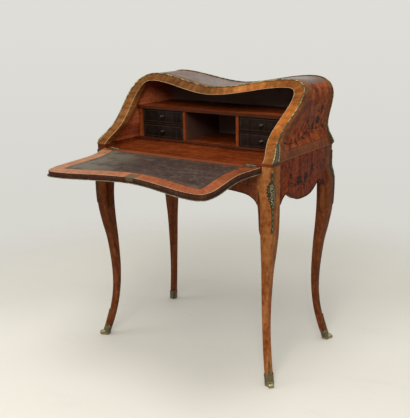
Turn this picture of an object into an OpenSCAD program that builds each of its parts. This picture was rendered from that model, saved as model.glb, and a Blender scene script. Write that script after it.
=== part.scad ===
// Slant-front writing desk on four cabriole legs, stored with its fall open.
// X runs to the right, Y to the back, Z up. The origin is on the floor under the middle of the case.

/* [Case] */
// Height of the belt, where the upper case stands on the lower case
belt_h = 708; // [640:1:770]
// Height of the upper case, from the belt to its two shoulders
upper_h = 222; // [200:1:244]
// Width of the case at the belt
case_w = 686; // [620:1:750]
// Depth of the case from front to back
case_d = 406; // [370:1:446]
// Thickness of the side boards
side_t = 18; // [15:1:20]
// Thickness of the top board
top_t = 18; // [15:1:20]
// Thickness of the back board
back_t = 12; // [8:1:14]

/* [Outline of the upper case] */
// Depth of the waist in the side, measured in from the belt
waist_in = 19.5; // [14:0.5:24]
// Height of the waist above the belt
waist_up = 70; // [64:1:76]
// Inset of the widest point of the shoulder
shoulder_in = 3.5; // [0:0.5:8]
// Drop from the crown of the shoulder to its widest point
shoulder_drop = 57; // [50:1:64]
// Distance of the shoulder's crown in from the side of the case
crown_in = 78; // [70:1:90]
// Drop of the top at its middle
dip = 32.5; // [24:0.5:40]

/* [Sloping front] */
// Angle of the front above the horizontal
slope = 42.3; // [41:0.1:44]
// Width of the banded rim round the opening
rim_w = 35; // [32:0.5:37]
// Depth of the rim behind the sloping face
rim_t = 20; // [16:1:24]

/* [Fall] */
// Thickness of the fall
fall_t = 17; // [16.5:0.5:17.5]
// Angle by which the open fall droops below the horizontal
droop = 5; // [0:0.1:6]
// Distance of the hinge line behind the front of the case
joint_in = 7; // [5:0.5:8]
// Gap between the edge of the fall and the rim
fall_gap = 4; // [3:0.5:5]
// Width by which the brass moulding stands out of the fall's edge
lip_w = 6; // [5:0.5:6.5]
// Height by which the moulding stands out of the fall's outer face
lip_over = 0.5; // [0:0.5:2]
// Width of the veneered border round the leather
border_w = 42; // [38:1:46]
// Gap between the hinge leaves and the leather
leather_gap = 2.4; // [1:0.2:8]
// Thickness of the leather
leather_t = 1.2; // [0.8:0.1:2]

/* [Writing bed and friezes] */
// Thickness of the writing bed
bed_t = 18; // [16:0.5:20]
// Depth of the writing bed's surface below the belt
bed_drop = 11; // [10:0.5:13]
// Thickness of the friezes
frieze_t = 18; // [15:1:20]
// Depth of the front and back friezes below the belt
frieze_drop = 98; // [88:1:108]
// Depth of the side aprons' middle lobe below the belt
lobe_drop = 140; // [126:1:154]
// Depth of the arches on both sides of that lobe below the belt
arch_drop = 105; // [95:1:115]
// Section of the bearers under the bed
bearer = 20; // [16:1:24]

/* [Legs] */
// Width of the square stile at the head of a leg
stile_w = 52; // [50:1:56]
// Height of the stile and knee together, from the belt down to the slim part of the leg
knee_l = 278; // [256:1:300]
// Inward sweep of the slim part at its most hollow point
ankle_in = 32; // [28:1:35]
// Outward swell of the knee past the case
knee_out = 8.5; // [5:0.5:11]
// Width of the leg at the knee
knee_w = 45; // [42:0.5:48]
// Width of the leg at its thinnest
ankle_w = 21.5; // [20:0.5:25]
// Radius of the leg's edges
leg_r = 4; // [2:0.5:5]
// Height of the bronze shoe's tongue
shoe_h = 98; // [80:1:110]
// Height of the bronze shoe's sleeve
shoe_low = 32; // [26:1:40]
// Thickness of the bronze shoe's wall
shoe_t = 1.6; // [1.2:0.1:2.4]
// Reach of the shoe's toe past the leg's corner
toe_out = 17; // [12:0.5:22]

/* [Nest of drawers] */
// Distance of the nest's front before the middle of the case
nest_y = 20; // [12:1:26]
// Depth of the nest
nest_d = 203; // [190:1:203]
// Height of each drawer opening
drawer_h = 48; // [44:0.5:50]
// Half the width of the middle compartment
bay_half = 102; // [92:1:110]
// Gap between a drawer's place and the rim's opening
rim_gap = 1.5; // [1:0.5:4]
// Thickness of the dividers
divider_t = 10; // [8:0.5:12]
// Thickness of the board between two drawers
rail_t = 4; // [3:0.5:6]
// Thickness of the nest's base board
nest_base_t = 15; // [12:0.5:17]
// Height of the rebate along the base board's lower front edge
plinth_h = 7; // [5:0.5:8]
// Thickness of the shelf over the nest
shelf_t = 10; // [8:0.5:14]
// Thickness of the drawers' fronts
front_t = 12; // [9:0.5:15]
// Thickness of the drawers' sides and backs
box_t = 6; // [4:0.5:8]
// Thickness of the drawers' bottoms
bottom_t = 4; // [3:0.5:5]

/* [Brass and bronze] */
// Diameter of a drawer knob
knob_d = 12; // [9:0.5:15]
// Length of a hinge
hinge_l = 36; // [30:1:42]
// Width of a hinge leaf
leaf_w = 18; // [14:0.5:20]
// Thickness of a hinge leaf
leaf_t = 1.6; // [1.2:0.1:2]
// Radius of a hinge knuckle
knuckle_r = 3; // [2.6:0.1:3.4]
// Radius of a hinge pin
pin_r = 1.5; // [1.2:0.1:1.8]
// Distance from the side of the case in to the middle of a hinge
hinge_in = 75; // [75:1:88]
// Width of the lock plate
lock_w = 36; // [32:1:42]
// Depth of the lock plate on the fall
lock_d = 30; // [29:1:36]
// Travel of the lock's bolt
bolt_throw = 8; // [6:0.5:9]
// Thickness of the brass fillets
fillet_t = 2.2; // [1.5:0.1:3]
// Width of the brass fillets
fillet_w = 5; // [4:0.5:6]
// Thickness of the bronze mounts
mount_t = 3; // [2:0.5:4]
// Height of the corner mounts on the upper case
corner_mount_h = 60; // [45:1:66]
// Reach of the corner mounts past the side of the case
corner_mount_out = 13; // [9:1:15]
// Length of a knee mount, from its top to its tail
knee_mount_l = 190; // [172:1:208]
// Width of a knee mount across its cluster of leaves
knee_mount_w = 30; // [24:1:36]

/* [Hidden] */
$fn = 48;

// Clearances
seat = 0.2;
run = 0.4;
pin_gap = 0.05;

// Derived places of the case
half_w = case_w / 2;
half_d = case_d / 2;
rise = upper_h;
stretch = 1 / sin(slope);
bed_z = belt_h - bed_drop;
far = 1200;

// The hinge line: its distance behind the sloping face, and along it from the belt
pivot_y = -half_d + joint_in;
pivot_z = bed_z;
pivot_deep = cos(slope) * bed_drop + sin(slope) * (half_d + pivot_y);
pivot_v = -sin(slope) * bed_drop + cos(slope) * (half_d + pivot_y);

// Distance from the hinge line to the edge of a leaf's plate
leaf_start = knuckle_r + 0.8;

// The fall's outline stands this far inside the case's outline
fall_e = rim_w + fall_gap;
fall_front = (rise - dip) * stretch - fall_e - pivot_v;

// Colours
walnut = [0.43, 0.17, 0.07];
veneer = [0.52, 0.22, 0.09];
banding = [0.68, 0.38, 0.15];
oak = [0.45, 0.30, 0.18];
dark = [0.13, 0.07, 0.05];
hide = [0.20, 0.16, 0.13];
brass = [0.72, 0.58, 0.30];
bronze = [0.42, 0.37, 0.20];

// Outline of the upper case, from the right end of the belt to the middle of the top, as four curves.
// Each curve is two end points and the two handles between them, in X and in height above the belt.
belt_pt = [half_w, 0];
waist_pt = [half_w - waist_in, waist_up];
shoulder_pt = [half_w - shoulder_in, rise - shoulder_drop];
crown_pt = [half_w - crown_in, rise];
dip_pt = [0, rise - dip];
side_handle = 28;
curves = [
    [belt_pt, belt_pt + [0, side_handle], waist_pt - [0, side_handle], waist_pt],
    [waist_pt, waist_pt + [0, side_handle], shoulder_pt - [0, side_handle], shoulder_pt],
    [shoulder_pt, shoulder_pt + [0, 0.65 * shoulder_drop], crown_pt + [0.64 * crown_in, 0], crown_pt],
    [crown_pt, crown_pt - [0.3 * crown_pt[0], 0], dip_pt + [0.32 * crown_pt[0], 0], dip_pt]
];
steps = 10;

function bezier(c, t) =
    pow(1 - t, 3) * c[0] + 3 * pow(1 - t, 2) * t * c[1] + 3 * (1 - t) * t * t * c[2] + t * t * t * c[3];
function heading(c, t) =
    (1 - t) * (1 - t) * (c[1] - c[0]) + 2 * (1 - t) * t * (c[2] - c[1]) + t * t * (c[3] - c[2]);

// A point of a curve moved inward by e, in a plane where heights are multiplied by s
function inset_point(c, t, e, s) =
    let (p = bezier(c, t), h = heading(c, t), n = [-h[1] * s, h[0]])
    [p[0], p[1] * s] + e * n / norm(n);

// The right half of the outline, inset by e, over the curves from first to last
function half_outline(e, s, first = 0, last = 3) = concat(
    [for (k = [first:last], i = [0:steps - 1]) inset_point(curves[k], i / steps, e, s)],
    [inset_point(curves[last], 1, e, s)]
);
function mirrored(pts) = [for (i = [len(pts) - 1:-1:0]) [-pts[i][0], pts[i][1]]];
function outline(e, s, foot = 0) =
    let (right = half_outline(e, s), side = [for (p = right) if (p[0] > 0.001) p])
    concat([[half_w - e, -foot]], right, mirrored(side), [[-half_w + e, -foot]]);
function flattened(pts, s) = [for (p = pts) [p[0], p[1] / s]];

// Stands a drawing of the XZ plane up, with its heights counted from the belt, from y0 back to y1
module along_y(y0, y1) {
    translate([0, y1, belt_h]) rotate([90, 0, 0]) linear_extrude(y1 - y0) children();
}

// Frame of the sloping face: Y is the depth behind it, Z runs up it from the belt
module on_slope() {
    translate([0, -half_d, belt_h]) rotate([slope - 90, 0, 0]) children();
}
module slope_slab(from, to) {
    on_slope() translate([-far, from, -far]) cube([2 * far, to - from, 2 * far]);
}

// Frame of the open fall: Y runs from the hinge line to the front edge, Z down through its thickness
module on_fall() {
    translate([0, pivot_y, pivot_z]) rotate([180 + droop, 0, 0]) children();
}

// Everything behind the upright plane in which the open fall meets the bed
module behind_joint(gap) {
    translate([-far, pivot_y - gap, -far]) cube([2 * far, 2 * far, 3 * far]);
}

// The places of the stiles, which the back corners of the fall are cut away for
module past_stiles() {
    for (sx = [-1, 1]) mirror([sx < 0 ? 1 : 0, 0, 0])
        translate([half_w - stile_w - 1, -half_d - 1, bed_z - 2 * bed_t]) cube([far, half_d, 4 * bed_t]);
}

// Cabriole leg: rows of height, inward distance of its middle from the case's faces, and width
slim_h = belt_h - knee_l;
knee_in = knee_w / 2 - knee_out;
leg_rows = [
    [-0.09 * slim_h, -0.38 * ankle_in, ankle_w - 2],
    [0, -0.03 * ankle_in, ankle_w - 1],
    [0.042 * slim_h, 0.1 * ankle_in, ankle_w - 1],
    [0.116 * slim_h, 0.34 * ankle_in, ankle_w],
    [0.233 * slim_h, 0.66 * ankle_in, ankle_w],
    [0.35 * slim_h, 0.88 * ankle_in, ankle_w],
    [0.477 * slim_h, ankle_in, ankle_w + 1],
    [0.64 * slim_h, ankle_in, ankle_w + 4],
    [0.85 * slim_h, 0.84 * ankle_in, ankle_w + 9],
    [slim_h, 0.625 * ankle_in, ankle_w + 16],
    [belt_h - 0.78 * knee_l, knee_in + 1, knee_w - 2],
    [belt_h - 0.56 * knee_l, knee_in, knee_w],
    [belt_h - 0.39 * knee_l, knee_in + 2, knee_w + 1],
    [belt_h - 0.245 * knee_l, stile_w / 2, stile_w],
    [bed_z - bed_t, stile_w / 2, stile_w],
    [belt_h, stile_w / 2, stile_w]
];
function spline(a, b, c, d, t) =
    b + 0.5 * t * (c - a + t * (2 * a - 5 * b + 4 * c - d + t * (3 * (b - c) + d - a)));
leg_sections = concat(
    [for (k = [1:12], t = [0, 0.5])
        spline(leg_rows[k - 1], leg_rows[k], leg_rows[k + 1], leg_rows[k + 2], t)],
    [leg_rows[13], leg_rows[14], leg_rows[15]]
);
corner_steps = 2;
sole_t = 3;

// A square of width w with rounded corners, as a ring of points
function square_ring(w, r) = [
    for (q = [0:3], i = [0:corner_steps])
        let (a = 90 * q + 90 * i / corner_steps, b = 90 * q + 45)
        (w / 2 - r) * [sign(cos(b)), sign(sin(b))] + r * [cos(a), sin(a)]
];
function leg_ring(row, grow) =
    [for (p = square_ring(row[2] + 2 * grow, leg_r + grow)) [p[0] - row[1], p[1] - row[1], row[0]]];

// A solid through rings that have the same number of points
module skin(rings) {
    n = len(rings[0]);
    last = len(rings) - 1;
    polyhedron(
        points = [for (r = rings, p = r) p],
        faces = concat(
            [[for (i = [0:n - 1]) i]],
            [for (j = [0:last - 1], i = [0:n - 1], h = [0, 1])
                let (a = j * n + i, b = j * n + (i + 1) % n)
                h == 0 ? [a, a + n, b] : [b, a + n, b + n]],
            [[for (i = [n - 1:-1:0]) last * n + i]]
        )
    );
}

// The leg in its own corner: the case's faces are at X = 0 and Y = 0, and the case is on their negative side
module leg_form(grow, top) {
    skin([for (row = leg_sections) if (row[0] < top + 1) leg_ring(row, grow)]);
}
module at_corner(sx, sy) {
    translate([sx * half_w, sy * half_d, 0])
        mirror([sx < 0 ? 1 : 0, 0, 0])
            mirror([0, sy < 0 ? 1 : 0, 0]) children();
}
module leg(sx, sy) {
    color(walnut) at_corner(sx, sy) difference() {
        leg_form(0, belt_h);
        translate([-far, -far, -far]) cube([2 * far, 2 * far, far + sole_t]);
        translate([-far, -far, bed_z - bed_t]) cube([far - rim_w, 2 * far, far]);
    }
}
module leg_front_left() { leg(-1, -1); }
module leg_front_right() { leg(1, -1); }
module leg_back_left() { leg(-1, 1); }
module leg_back_right() { leg(1, 1); }

// A drawing of half widths at heights, pressed through the leg's outer edge
module through_edge(rows) {
    rotate([90, 0, 135]) translate([0, 0, -far / 2]) linear_extrude(far)
        polygon(concat([for (r = rows) [r[1], r[0]]], reversed([for (r = rows) [-r[1], r[0]]])));
}
function leg_in(z) = lookup(z, [for (r = leg_rows) [r[0], r[1]]]);

// Bronze shoe: a low sleeve round the foot with a tongue up the outer edge, a sole, and a toe that curls out
toe_r = 7.5;
toe_w = 15;
toe_l = 18;
tongue_lean = atan((leg_in(shoe_h) - leg_in(shoe_low)) * sqrt(2) / (shoe_h - shoe_low));
tongue_rows = [
    [shoe_low - 8, 13], [shoe_low, 12], [shoe_low + 0.2 * (shoe_h - shoe_low), 8],
    [shoe_low + 0.5 * (shoe_h - shoe_low), 6.5], [shoe_low + 0.8 * (shoe_h - shoe_low), 4], [shoe_h, 1]
];
module toe_roll(x, r) {
    translate([x, 0, r]) rotate([90, 0, 0]) cylinder(r = r, h = toe_w, center = true, $fn = 24);
}
module shoe_reach() {
    translate([-far / 2, -far / 2, 0]) cube([far, far, shoe_low]);
    intersection() {
        through_edge(tongue_rows);
        rotate([0, 0, 45]) translate([-leg_in(shoe_low) * sqrt(2), -far / 2, shoe_low])
            rotate([0, -tongue_lean, 0]) translate([0, 0, -shoe_low]) cube([far, far, far]);
    }
}
module shoe(sx, sy) {
    color(bronze) at_corner(sx, sy) difference() {
        union() {
            intersection() {
                leg_form(shoe_t, 2 * shoe_h);
                shoe_reach();
            }
            rotate([0, 0, 45]) hull() {
                toe_roll(toe_out, toe_r);
                toe_roll(toe_out - toe_l, toe_r + 3);
            }
        }
        intersection() {
            leg_form(seat, 3 * shoe_h);
            translate([-far / 2, -far / 2, sole_t]) cube([far, far, 2 * shoe_h]);
        }
    }
}
module shoe_front_left() { shoe(-1, -1); }
module shoe_front_right() { shoe(1, -1); }
module shoe_back_left() { shoe(-1, 1); }
module shoe_back_right() { shoe(1, 1); }

// Bronze knee mount: a thin strip down the stile's edge, a cluster on the knee and a tail down the leg
mount_top = belt_h - 19;
knee_mount_shape = [
    [0, 0.13], [0.2, 0.2], [0.27, 0.5], [0.44, 0.47], [0.56, 0.28], [0.8, 0.16], [0.92, 0.18], [1, 0.03]
];
knee_mount_rows = [for (p = knee_mount_shape) [mount_top - p[0] * knee_mount_l, p[1] * knee_mount_w]];
module knee_mount(sx, sy) {
    color(bronze) at_corner(sx, sy) intersection() {
        difference() {
            leg_form(mount_t, belt_h);
            leg_form(seat, belt_h);
        }
        through_edge(knee_mount_rows);
        rotate([0, 0, 45]) translate([-stile_w / 2 * sqrt(2), -far, 0]) cube([far, 2 * far, far]);
    }
}
module knee_mount_front_left() { knee_mount(-1, -1); }
module knee_mount_front_right() { knee_mount(1, -1); }
module knee_mount_back_left() { knee_mount(-1, 1); }
module knee_mount_back_right() { knee_mount(1, 1); }

// Friezes and aprons between the stiles. A lower edge is half a curve, mirrored about the middle.
recess = 0.6;
frieze_half = half_w - stile_w - seat;
apron_half = half_d - stile_w - seat;
function half_edge(pts, n = 6) = [
    for (k = [1:len(pts) - 3], i = [0:n - 1]) spline(pts[k - 1], pts[k], pts[k + 1], pts[k + 2], i / n)
];
function lower_edge(half, pts) =
    let (right = concat(half_edge(pts), [[half, pts[len(pts) - 2][1]]]))
    concat([for (i = [len(right) - 1:-1:1]) [-right[i][0], right[i][1]]], right);
module shaped_rail(half, pts, top, t) {
    rotate([90, 0, 0]) translate([0, 0, -t / 2]) linear_extrude(t)
        polygon(concat(lower_edge(half, pts), [[half, top], [-half, top]]));
}
frieze_low = belt_h - frieze_drop;
lobe_low = belt_h - lobe_drop;
arch_low = belt_h - arch_drop;
front_pts = [
    [-60, frieze_low], [0, frieze_low - 6], [60, frieze_low + 2], [0.5 * frieze_half, frieze_low + 6],
    [frieze_half - 50, frieze_low], [frieze_half - 16, frieze_low - 12], [frieze_half, frieze_low - 30],
    [frieze_half + 10, frieze_low - 60]
];
back_pts = [
    [-90, frieze_low], [0, frieze_low], [90, frieze_low], [0.6 * frieze_half, frieze_low],
    [frieze_half - 30, frieze_low], [frieze_half, frieze_low - 16], [frieze_half + 20, frieze_low - 40]
];
side_pts = [
    [-0.3 * apron_half, lobe_low + 4], [0, lobe_low], [0.3 * apron_half, lobe_low + 4],
    [0.5 * apron_half, 0.5 * (lobe_low + arch_low)], [0.69 * apron_half, arch_low],
    [0.86 * apron_half, arch_low - 6], [apron_half, arch_low - 26], [1.1 * apron_half, arch_low - 50]
];
front_y = -half_d + 4 + frieze_t / 2;
module front_frieze() {
    color(veneer) translate([0, front_y, 0])
        shaped_rail(frieze_half, front_pts, bed_z - bed_t - seat, frieze_t);
}
module back_frieze() {
    color(walnut) translate([0, half_d - recess - frieze_t / 2, 0])
        shaped_rail(frieze_half, back_pts, belt_h, frieze_t);
}
module side_apron(sx) {
    color(veneer) translate([sx * (half_w - recess - frieze_t / 2), 0, 0]) rotate([0, 0, 90])
        shaped_rail(apron_half, side_pts, belt_h, frieze_t);
}
module side_apron_left() { side_apron(-1); }
module side_apron_right() { side_apron(1); }

// Bearers along the side aprons, under the bed
bed_half = half_w - recess - frieze_t - seat;
module bed_bearers() {
    color(oak) for (sx = [-1, 1])
        translate([sx * (bed_half + seat - bearer / 2) - bearer / 2, -apron_half, bed_z - bed_t - bearer])
            cube([bearer, 2 * apron_half, bearer]);
}

// Writing bed: it lies on the stiles' shoulders, and its front edge is the stop of the open fall
bed_front = pivot_y + 0.5 * seat;
bed_back = half_d - recess - frieze_t - seat;
module writing_bed() {
    color(veneer) difference() {
        translate([0, 0, bed_z - bed_t]) linear_extrude(bed_t) union() {
            translate([-half_w + rim_w + seat, bed_front])
                square([2 * (half_w - rim_w - seat), bed_back - bed_front]);
            translate([-bed_half, -apron_half]) square([2 * bed_half, 2 * apron_half]);
        }
        hinge_places() hinge_cut();
    }
}

// Upper case. The side boards end and the top begins at the middle of the shoulder.
shoulder_index = 2 * steps + steps / 2;
top_index = 4 * steps;
function part_of(pts, from, to) = [for (i = [from:to]) pts[i]];
function reversed(pts) = [for (i = [len(pts) - 1:-1:0]) pts[i]];
function side_board_pts() = concat(
    part_of(half_outline(0, 1), 0, shoulder_index),
    reversed(part_of(half_outline(side_t, 1), 0, shoulder_index))
);
function top_board_pts() = let (
    over = part_of(half_outline(0, 1), shoulder_index, top_index),
    under = part_of(half_outline(top_t, 1), shoulder_index, top_index - 1)
) concat(over, mirrored(part_of(over, 0, len(over) - 2)), reversed(mirrored(under)),
    [inset_point(curves[3], 1, top_t, 1)], reversed(under));
function band(e0, e1, s, foot = 0) = concat(outline(e0, s, foot), reversed(outline(e1, s, foot)));

module upper_side(sx) {
    color(walnut) mirror([sx < 0 ? 1 : 0, 0, 0]) intersection() {
        along_y(-half_d, half_d) polygon(side_board_pts());
        slope_slab(rim_t, far);
    }
}
module upper_side_left() { upper_side(-1); }
module upper_side_right() { upper_side(1); }
module top_board() {
    color(walnut) intersection() {
        along_y(-half_d, half_d) polygon(top_board_pts());
        slope_slab(rim_t, far);
    }
}
module back_board() {
    color(oak) along_y(half_d - back_t, half_d) polygon(outline(side_t + seat, 1));
}
module front_rim() {
    color(banding) difference() {
        intersection() {
            along_y(-half_d, half_d) polygon(flattened(band(0, rim_w, stretch), stretch));
            slope_slab(0, rim_t);
        }
        strike_cut();
    }
}

// Strike plate let into the underside of the rim at its middle, and the bolt's slot through it
strike_z = belt_h + rise - dip - rim_w / stretch;
strike_y = -half_d + (strike_z - belt_h) / tan(slope);
strike_d = 22;
strike_t = 1.5;
bolt_w = 12;
bolt_t = 3.6;
bolt_deep = 3.2;
module strike_form(grow) {
    translate([-lock_w / 2 - grow, strike_y + 1.5 - grow, strike_z + 0.2])
        cube([lock_w + 2 * grow, strike_d + 2 * grow, strike_t + grow]);
}
module bolt_slot() {
    on_slope() translate([-bolt_w / 2 - run, pivot_deep - bolt_deep - bolt_t - run, fall_front + pivot_v - 4])
        cube([bolt_w + 2 * run, bolt_t + 2 * run, 4 + fall_gap + bolt_throw + 3]);
}
module strike_cut() {
    strike_form(seat);
    translate([0, 0, -2]) strike_form(seat);
    bolt_slot();
}
module strike_plate() {
    color(brass) difference() {
        strike_form(0);
        bolt_slot();
    }
}

// Nest of drawers on the bed
nest_z = bed_z + nest_base_t;
nest_top = nest_z + 2 * drawer_h + rail_t;
case_in = half_w - waist_in - side_t - seat;
nest_out = half_w - waist_in - rim_w - rim_gap;
nest_in = bay_half + divider_t;
nest_end_y = min(nest_d - nest_y, bed_back);
module nest_box(x0, x1, z0, z1, front = 0) {
    translate([x0, -nest_y - front, z0]) cube([x1 - x0, nest_end_y + nest_y + front, z1 - z0]);
}
module nest_base() {
    rebate_d = 4;
    color(veneer) difference() {
        nest_box(-case_in, case_in, bed_z + 0.1, nest_z);
        translate([-far, -nest_y - 1, bed_z - 1]) cube([2 * far, rebate_d + 1, plinth_h + 1]);
    }
}
module nest_shelf() {
    color(veneer) intersection() {
        nest_box(-half_w, half_w, nest_top, nest_top + shelf_t, 3);
        along_y(-half_d, half_d) polygon(outline(side_t + seat, 1));
    }
}
module nest_ends() {
    color(veneer) for (sx = [-1, 1]) mirror([sx < 0 ? 1 : 0, 0, 0])
        nest_box(nest_out, case_in, nest_z + 0.1, nest_top - 0.1);
}
module nest_divider(sx) {
    color(veneer) mirror([sx < 0 ? 1 : 0, 0, 0])
        nest_box(bay_half, nest_in, nest_z + 0.1, nest_top - 0.1);
}
module nest_divider_left() { nest_divider(-1); }
module nest_divider_right() { nest_divider(1); }
module nest_rails() {
    color(dark) for (sx = [-1, 1]) mirror([sx < 0 ? 1 : 0, 0, 0])
        nest_box(nest_in + 0.1, nest_out - 0.1, nest_z + drawer_h, nest_z + drawer_h + rail_t);
}

// Drawers. Each is placed by its side and its level, 0 for the lower pair and 1 for the upper.
drawer_x = 0.5 * (nest_in + nest_out);
drawer_w = nest_out - nest_in - 2 * run;
drawer_up = drawer_h - run - 0.3;
front_back = 2;
knob_hole = 2;
drawer_y = front_back - nest_y;
box_l = nest_end_y - drawer_y - front_t - 3;
module at_drawer(sx, level) {
    translate([sx * drawer_x, drawer_y, nest_z + level * (drawer_h + rail_t) + 0.3]) children();
}
module drawer_front(sx, level) {
    color(dark) at_drawer(sx, level) difference() {
        translate([-drawer_w / 2, 0, 0]) cube([drawer_w, front_t, drawer_up]);
        translate([0, -1, drawer_up / 2]) rotate([-90, 0, 0]) cylinder(r = knob_hole, h = front_t + 2);
    }
}
module drawer_box(sx, level) {
    low = 2;
    color(oak) at_drawer(sx, level) difference() {
        translate([-drawer_w / 2, front_t, 0]) cube([drawer_w, box_l, drawer_up - low]);
        translate([-drawer_w / 2 + box_t, front_t - 1, bottom_t])
            cube([drawer_w - 2 * box_t, box_l - box_t + 1, drawer_up]);
    }
}
module knob(sx, level) {
    stem = knob_hole - 0.1;
    color(brass) at_drawer(sx, level) translate([0, 0, drawer_up / 2]) rotate([90, 0, 0]) rotate_extrude()
        polygon([
            [0, -front_t + 1], [stem, -front_t + 1], [stem, 0.1], [knob_d * 0.36, 0.1], [knob_d * 0.36, 1.2],
            [knob_d * 0.17, 2.2], [knob_d * 0.17, 5], [knob_d * 0.42, 7], [knob_d * 0.5, 9],
            [knob_d * 0.42, 11.4], [knob_d * 0.18, 12.4], [0, 12.6]
        ]);
}
module drawer_front_upper_left() { drawer_front(-1, 1); }
module drawer_front_lower_left() { drawer_front(-1, 0); }
module drawer_front_upper_right() { drawer_front(1, 1); }
module drawer_front_lower_right() { drawer_front(1, 0); }
module drawer_box_upper_left() { drawer_box(-1, 1); }
module drawer_box_lower_left() { drawer_box(-1, 0); }
module drawer_box_upper_right() { drawer_box(1, 1); }
module drawer_box_lower_right() { drawer_box(1, 0); }
module knob_upper_left() { knob(-1, 1); }
module knob_lower_left() { knob(-1, 0); }
module knob_upper_right() { knob(1, 1); }
module knob_lower_right() { knob(1, 0); }

// Fall: a board with its leather let in, and a brass moulding that laps over the rim when it is shut
module fall_drawing(pts) {
    translate([0, -pivot_v]) polygon(pts);
}
leather_e = fall_e + border_w;
leather_back = pivot_v + leaf_start + leaf_w + leather_gap;
function leather_pts() = let (
    side = half_outline(leather_e, stretch, 0, 1),
    top = [for (i = [1:steps]) inset_point(curves[3], i / steps, leather_e, stretch)],
    right = concat([[half_w - leather_e, leather_back]], [for (p = side) if (p[1] > leather_back + 1) p], top)
) concat(right, mirrored(part_of(right, 0, len(right) - 2)));
module leather_form(grow) {
    translate([0, 0, -grow]) linear_extrude(leather_t + grow) fall_drawing(leather_pts());
}
module fall_board() {
    color(veneer) difference() {
        on_fall() difference() {
            linear_extrude(fall_t) fall_drawing(outline(fall_e, stretch, -pivot_v));
            leather_form(1);
            lock_cut();
            fall_side() hinge_cut();
        }
        behind_joint(0.5 * seat);
        past_stiles();
    }
}
module leather_panel() { color(hide) on_fall() leather_form(0); }
module fall_moulding() {
    gap = 0.5;
    color(bronze) difference() {
        on_fall() translate([0, 0, pivot_deep + gap]) linear_extrude(fall_t + lip_over - pivot_deep - gap)
            fall_drawing(band(fall_e - lip_w, fall_e, stretch, -pivot_v));
        behind_joint(joint_in + 1);
    }
}

// Hinges: a leaf lies on the plane Z = 0 and reaches along Y, with its knuckles round the X axis
hinge_x = half_w - hinge_in;
knuckle_gap = 0.3;
knuckle_l = (hinge_l - 2 * knuckle_gap) / 3;
screw_places = [-hinge_l / 3, 0, hinge_l / 3];
module hinge_places() {
    for (sx = [-1, 1]) translate([sx * hinge_x, pivot_y, pivot_z]) children();
}
module fall_side() {
    for (sx = [-1, 1]) translate([sx * hinge_x, 0, 0]) mirror([0, 0, 1]) children();
}
module screw(grow) {
    translate([0, 0, -leaf_t - 9]) cylinder(r = 1.4 + grow, h = 9 + leaf_t);
    translate([0, 0, -1.4]) cylinder(r1 = 1.4 + grow, r2 = 2.8 + grow, h = 1.4);
}
module leaf_screws(grow) {
    for (x = screw_places) translate([x, leaf_start + leaf_w / 2, 0]) screw(grow);
}
module hinge_leaf(outer) {
    places = outer ? [-knuckle_l - knuckle_gap, knuckle_l + knuckle_gap] : [0];
    difference() {
        union() {
            translate([-hinge_l / 2, leaf_start, -leaf_t]) cube([hinge_l, leaf_w, leaf_t]);
            for (x = places) {
                translate([x - knuckle_l / 2, 0, -leaf_t]) cube([knuckle_l, leaf_start + 1, leaf_t]);
                translate([x - knuckle_l / 2, 0, 0]) rotate([0, 90, 0])
                    cylinder(r = knuckle_r, h = knuckle_l);
            }
        }
        translate([-hinge_l, 0, 0]) rotate([0, 90, 0]) cylinder(r = pin_r + pin_gap, h = 2 * hinge_l);
        leaf_screws(0.1);
    }
}
module hinge_cut() {
    translate([-hinge_l / 2 - seat, 0, -leaf_t - 0.1])
        cube([hinge_l + 2 * seat, leaf_start + leaf_w + seat, leaf_t + 1]);
    translate([-hinge_l / 2 - run, 0, 0]) rotate([0, 90, 0])
        cylinder(r = knuckle_r + run, h = hinge_l + 2 * run);
    leaf_screws(0.1);
}
module hinge_case_leaves() { color(brass) hinge_places() hinge_leaf(true); }
module hinge_fall_leaves() { color(brass) on_fall() fall_side() hinge_leaf(false); }
module hinge_pins() {
    color(brass) hinge_places() translate([-hinge_l / 2, 0, 0]) rotate([0, 90, 0])
        cylinder(r = pin_r, h = hinge_l);
}
module hinge_screws_case() { color(brass) hinge_places() leaf_screws(0); }
module hinge_screws_fall() { color(brass) on_fall() fall_side() leaf_screws(0); }

// Lock in the middle of the fall's front edge: plate, case and edge plate, with the bolt inside
plate_t = 1.5;
case_t = 10;
lock_case_w = lock_w - 8;
lock_case_d = lock_d - 6;
edge_deep = pivot_deep;
module lock_block(grow) {
    translate([-lock_w / 2 - grow, fall_front - lock_d - grow, -grow])
        cube([lock_w + 2 * grow, lock_d + grow, plate_t + grow + grow]);
    translate([-lock_case_w / 2 - grow, fall_front - lock_case_d - grow, plate_t])
        cube([lock_case_w + 2 * grow, lock_case_d + grow, case_t + grow]);
    translate([-lock_w / 2 - grow, fall_front - plate_t - grow, -grow])
        cube([lock_w + 2 * grow, plate_t + grow, edge_deep + 2 * grow]);
}
key_at = 20;
module key_hole(r, from, to) {
    translate([0, fall_front - key_at, from]) cylinder(r = r, h = to - from);
    translate([-r / 2, fall_front - key_at, from]) cube([r, 2.6 * r, to - from]);
}
module lock_cut() {
    lock_block(seat);
    translate([0, 3, 0]) lock_block(seat);
    key_hole(3, plate_t, fall_t + 1);
}
bolt_l = 16;
bolt_rest = 0.6;
module bolt_form(grow, reach) {
    translate([-bolt_w / 2 - grow, fall_front - bolt_rest - bolt_l - grow, bolt_deep - grow])
        cube([bolt_w + 2 * grow, bolt_l + reach + grow, bolt_t + 2 * grow]);
}
module lock_body() {
    color(brass) on_fall() difference() {
        lock_block(0);
        bolt_form(0.3, 9);
        key_hole(2.4, bolt_deep + bolt_t + 0.3, plate_t + case_t + 1);
    }
}
module lock_bolt() { color(brass) on_fall() bolt_form(0, 0); }

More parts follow.
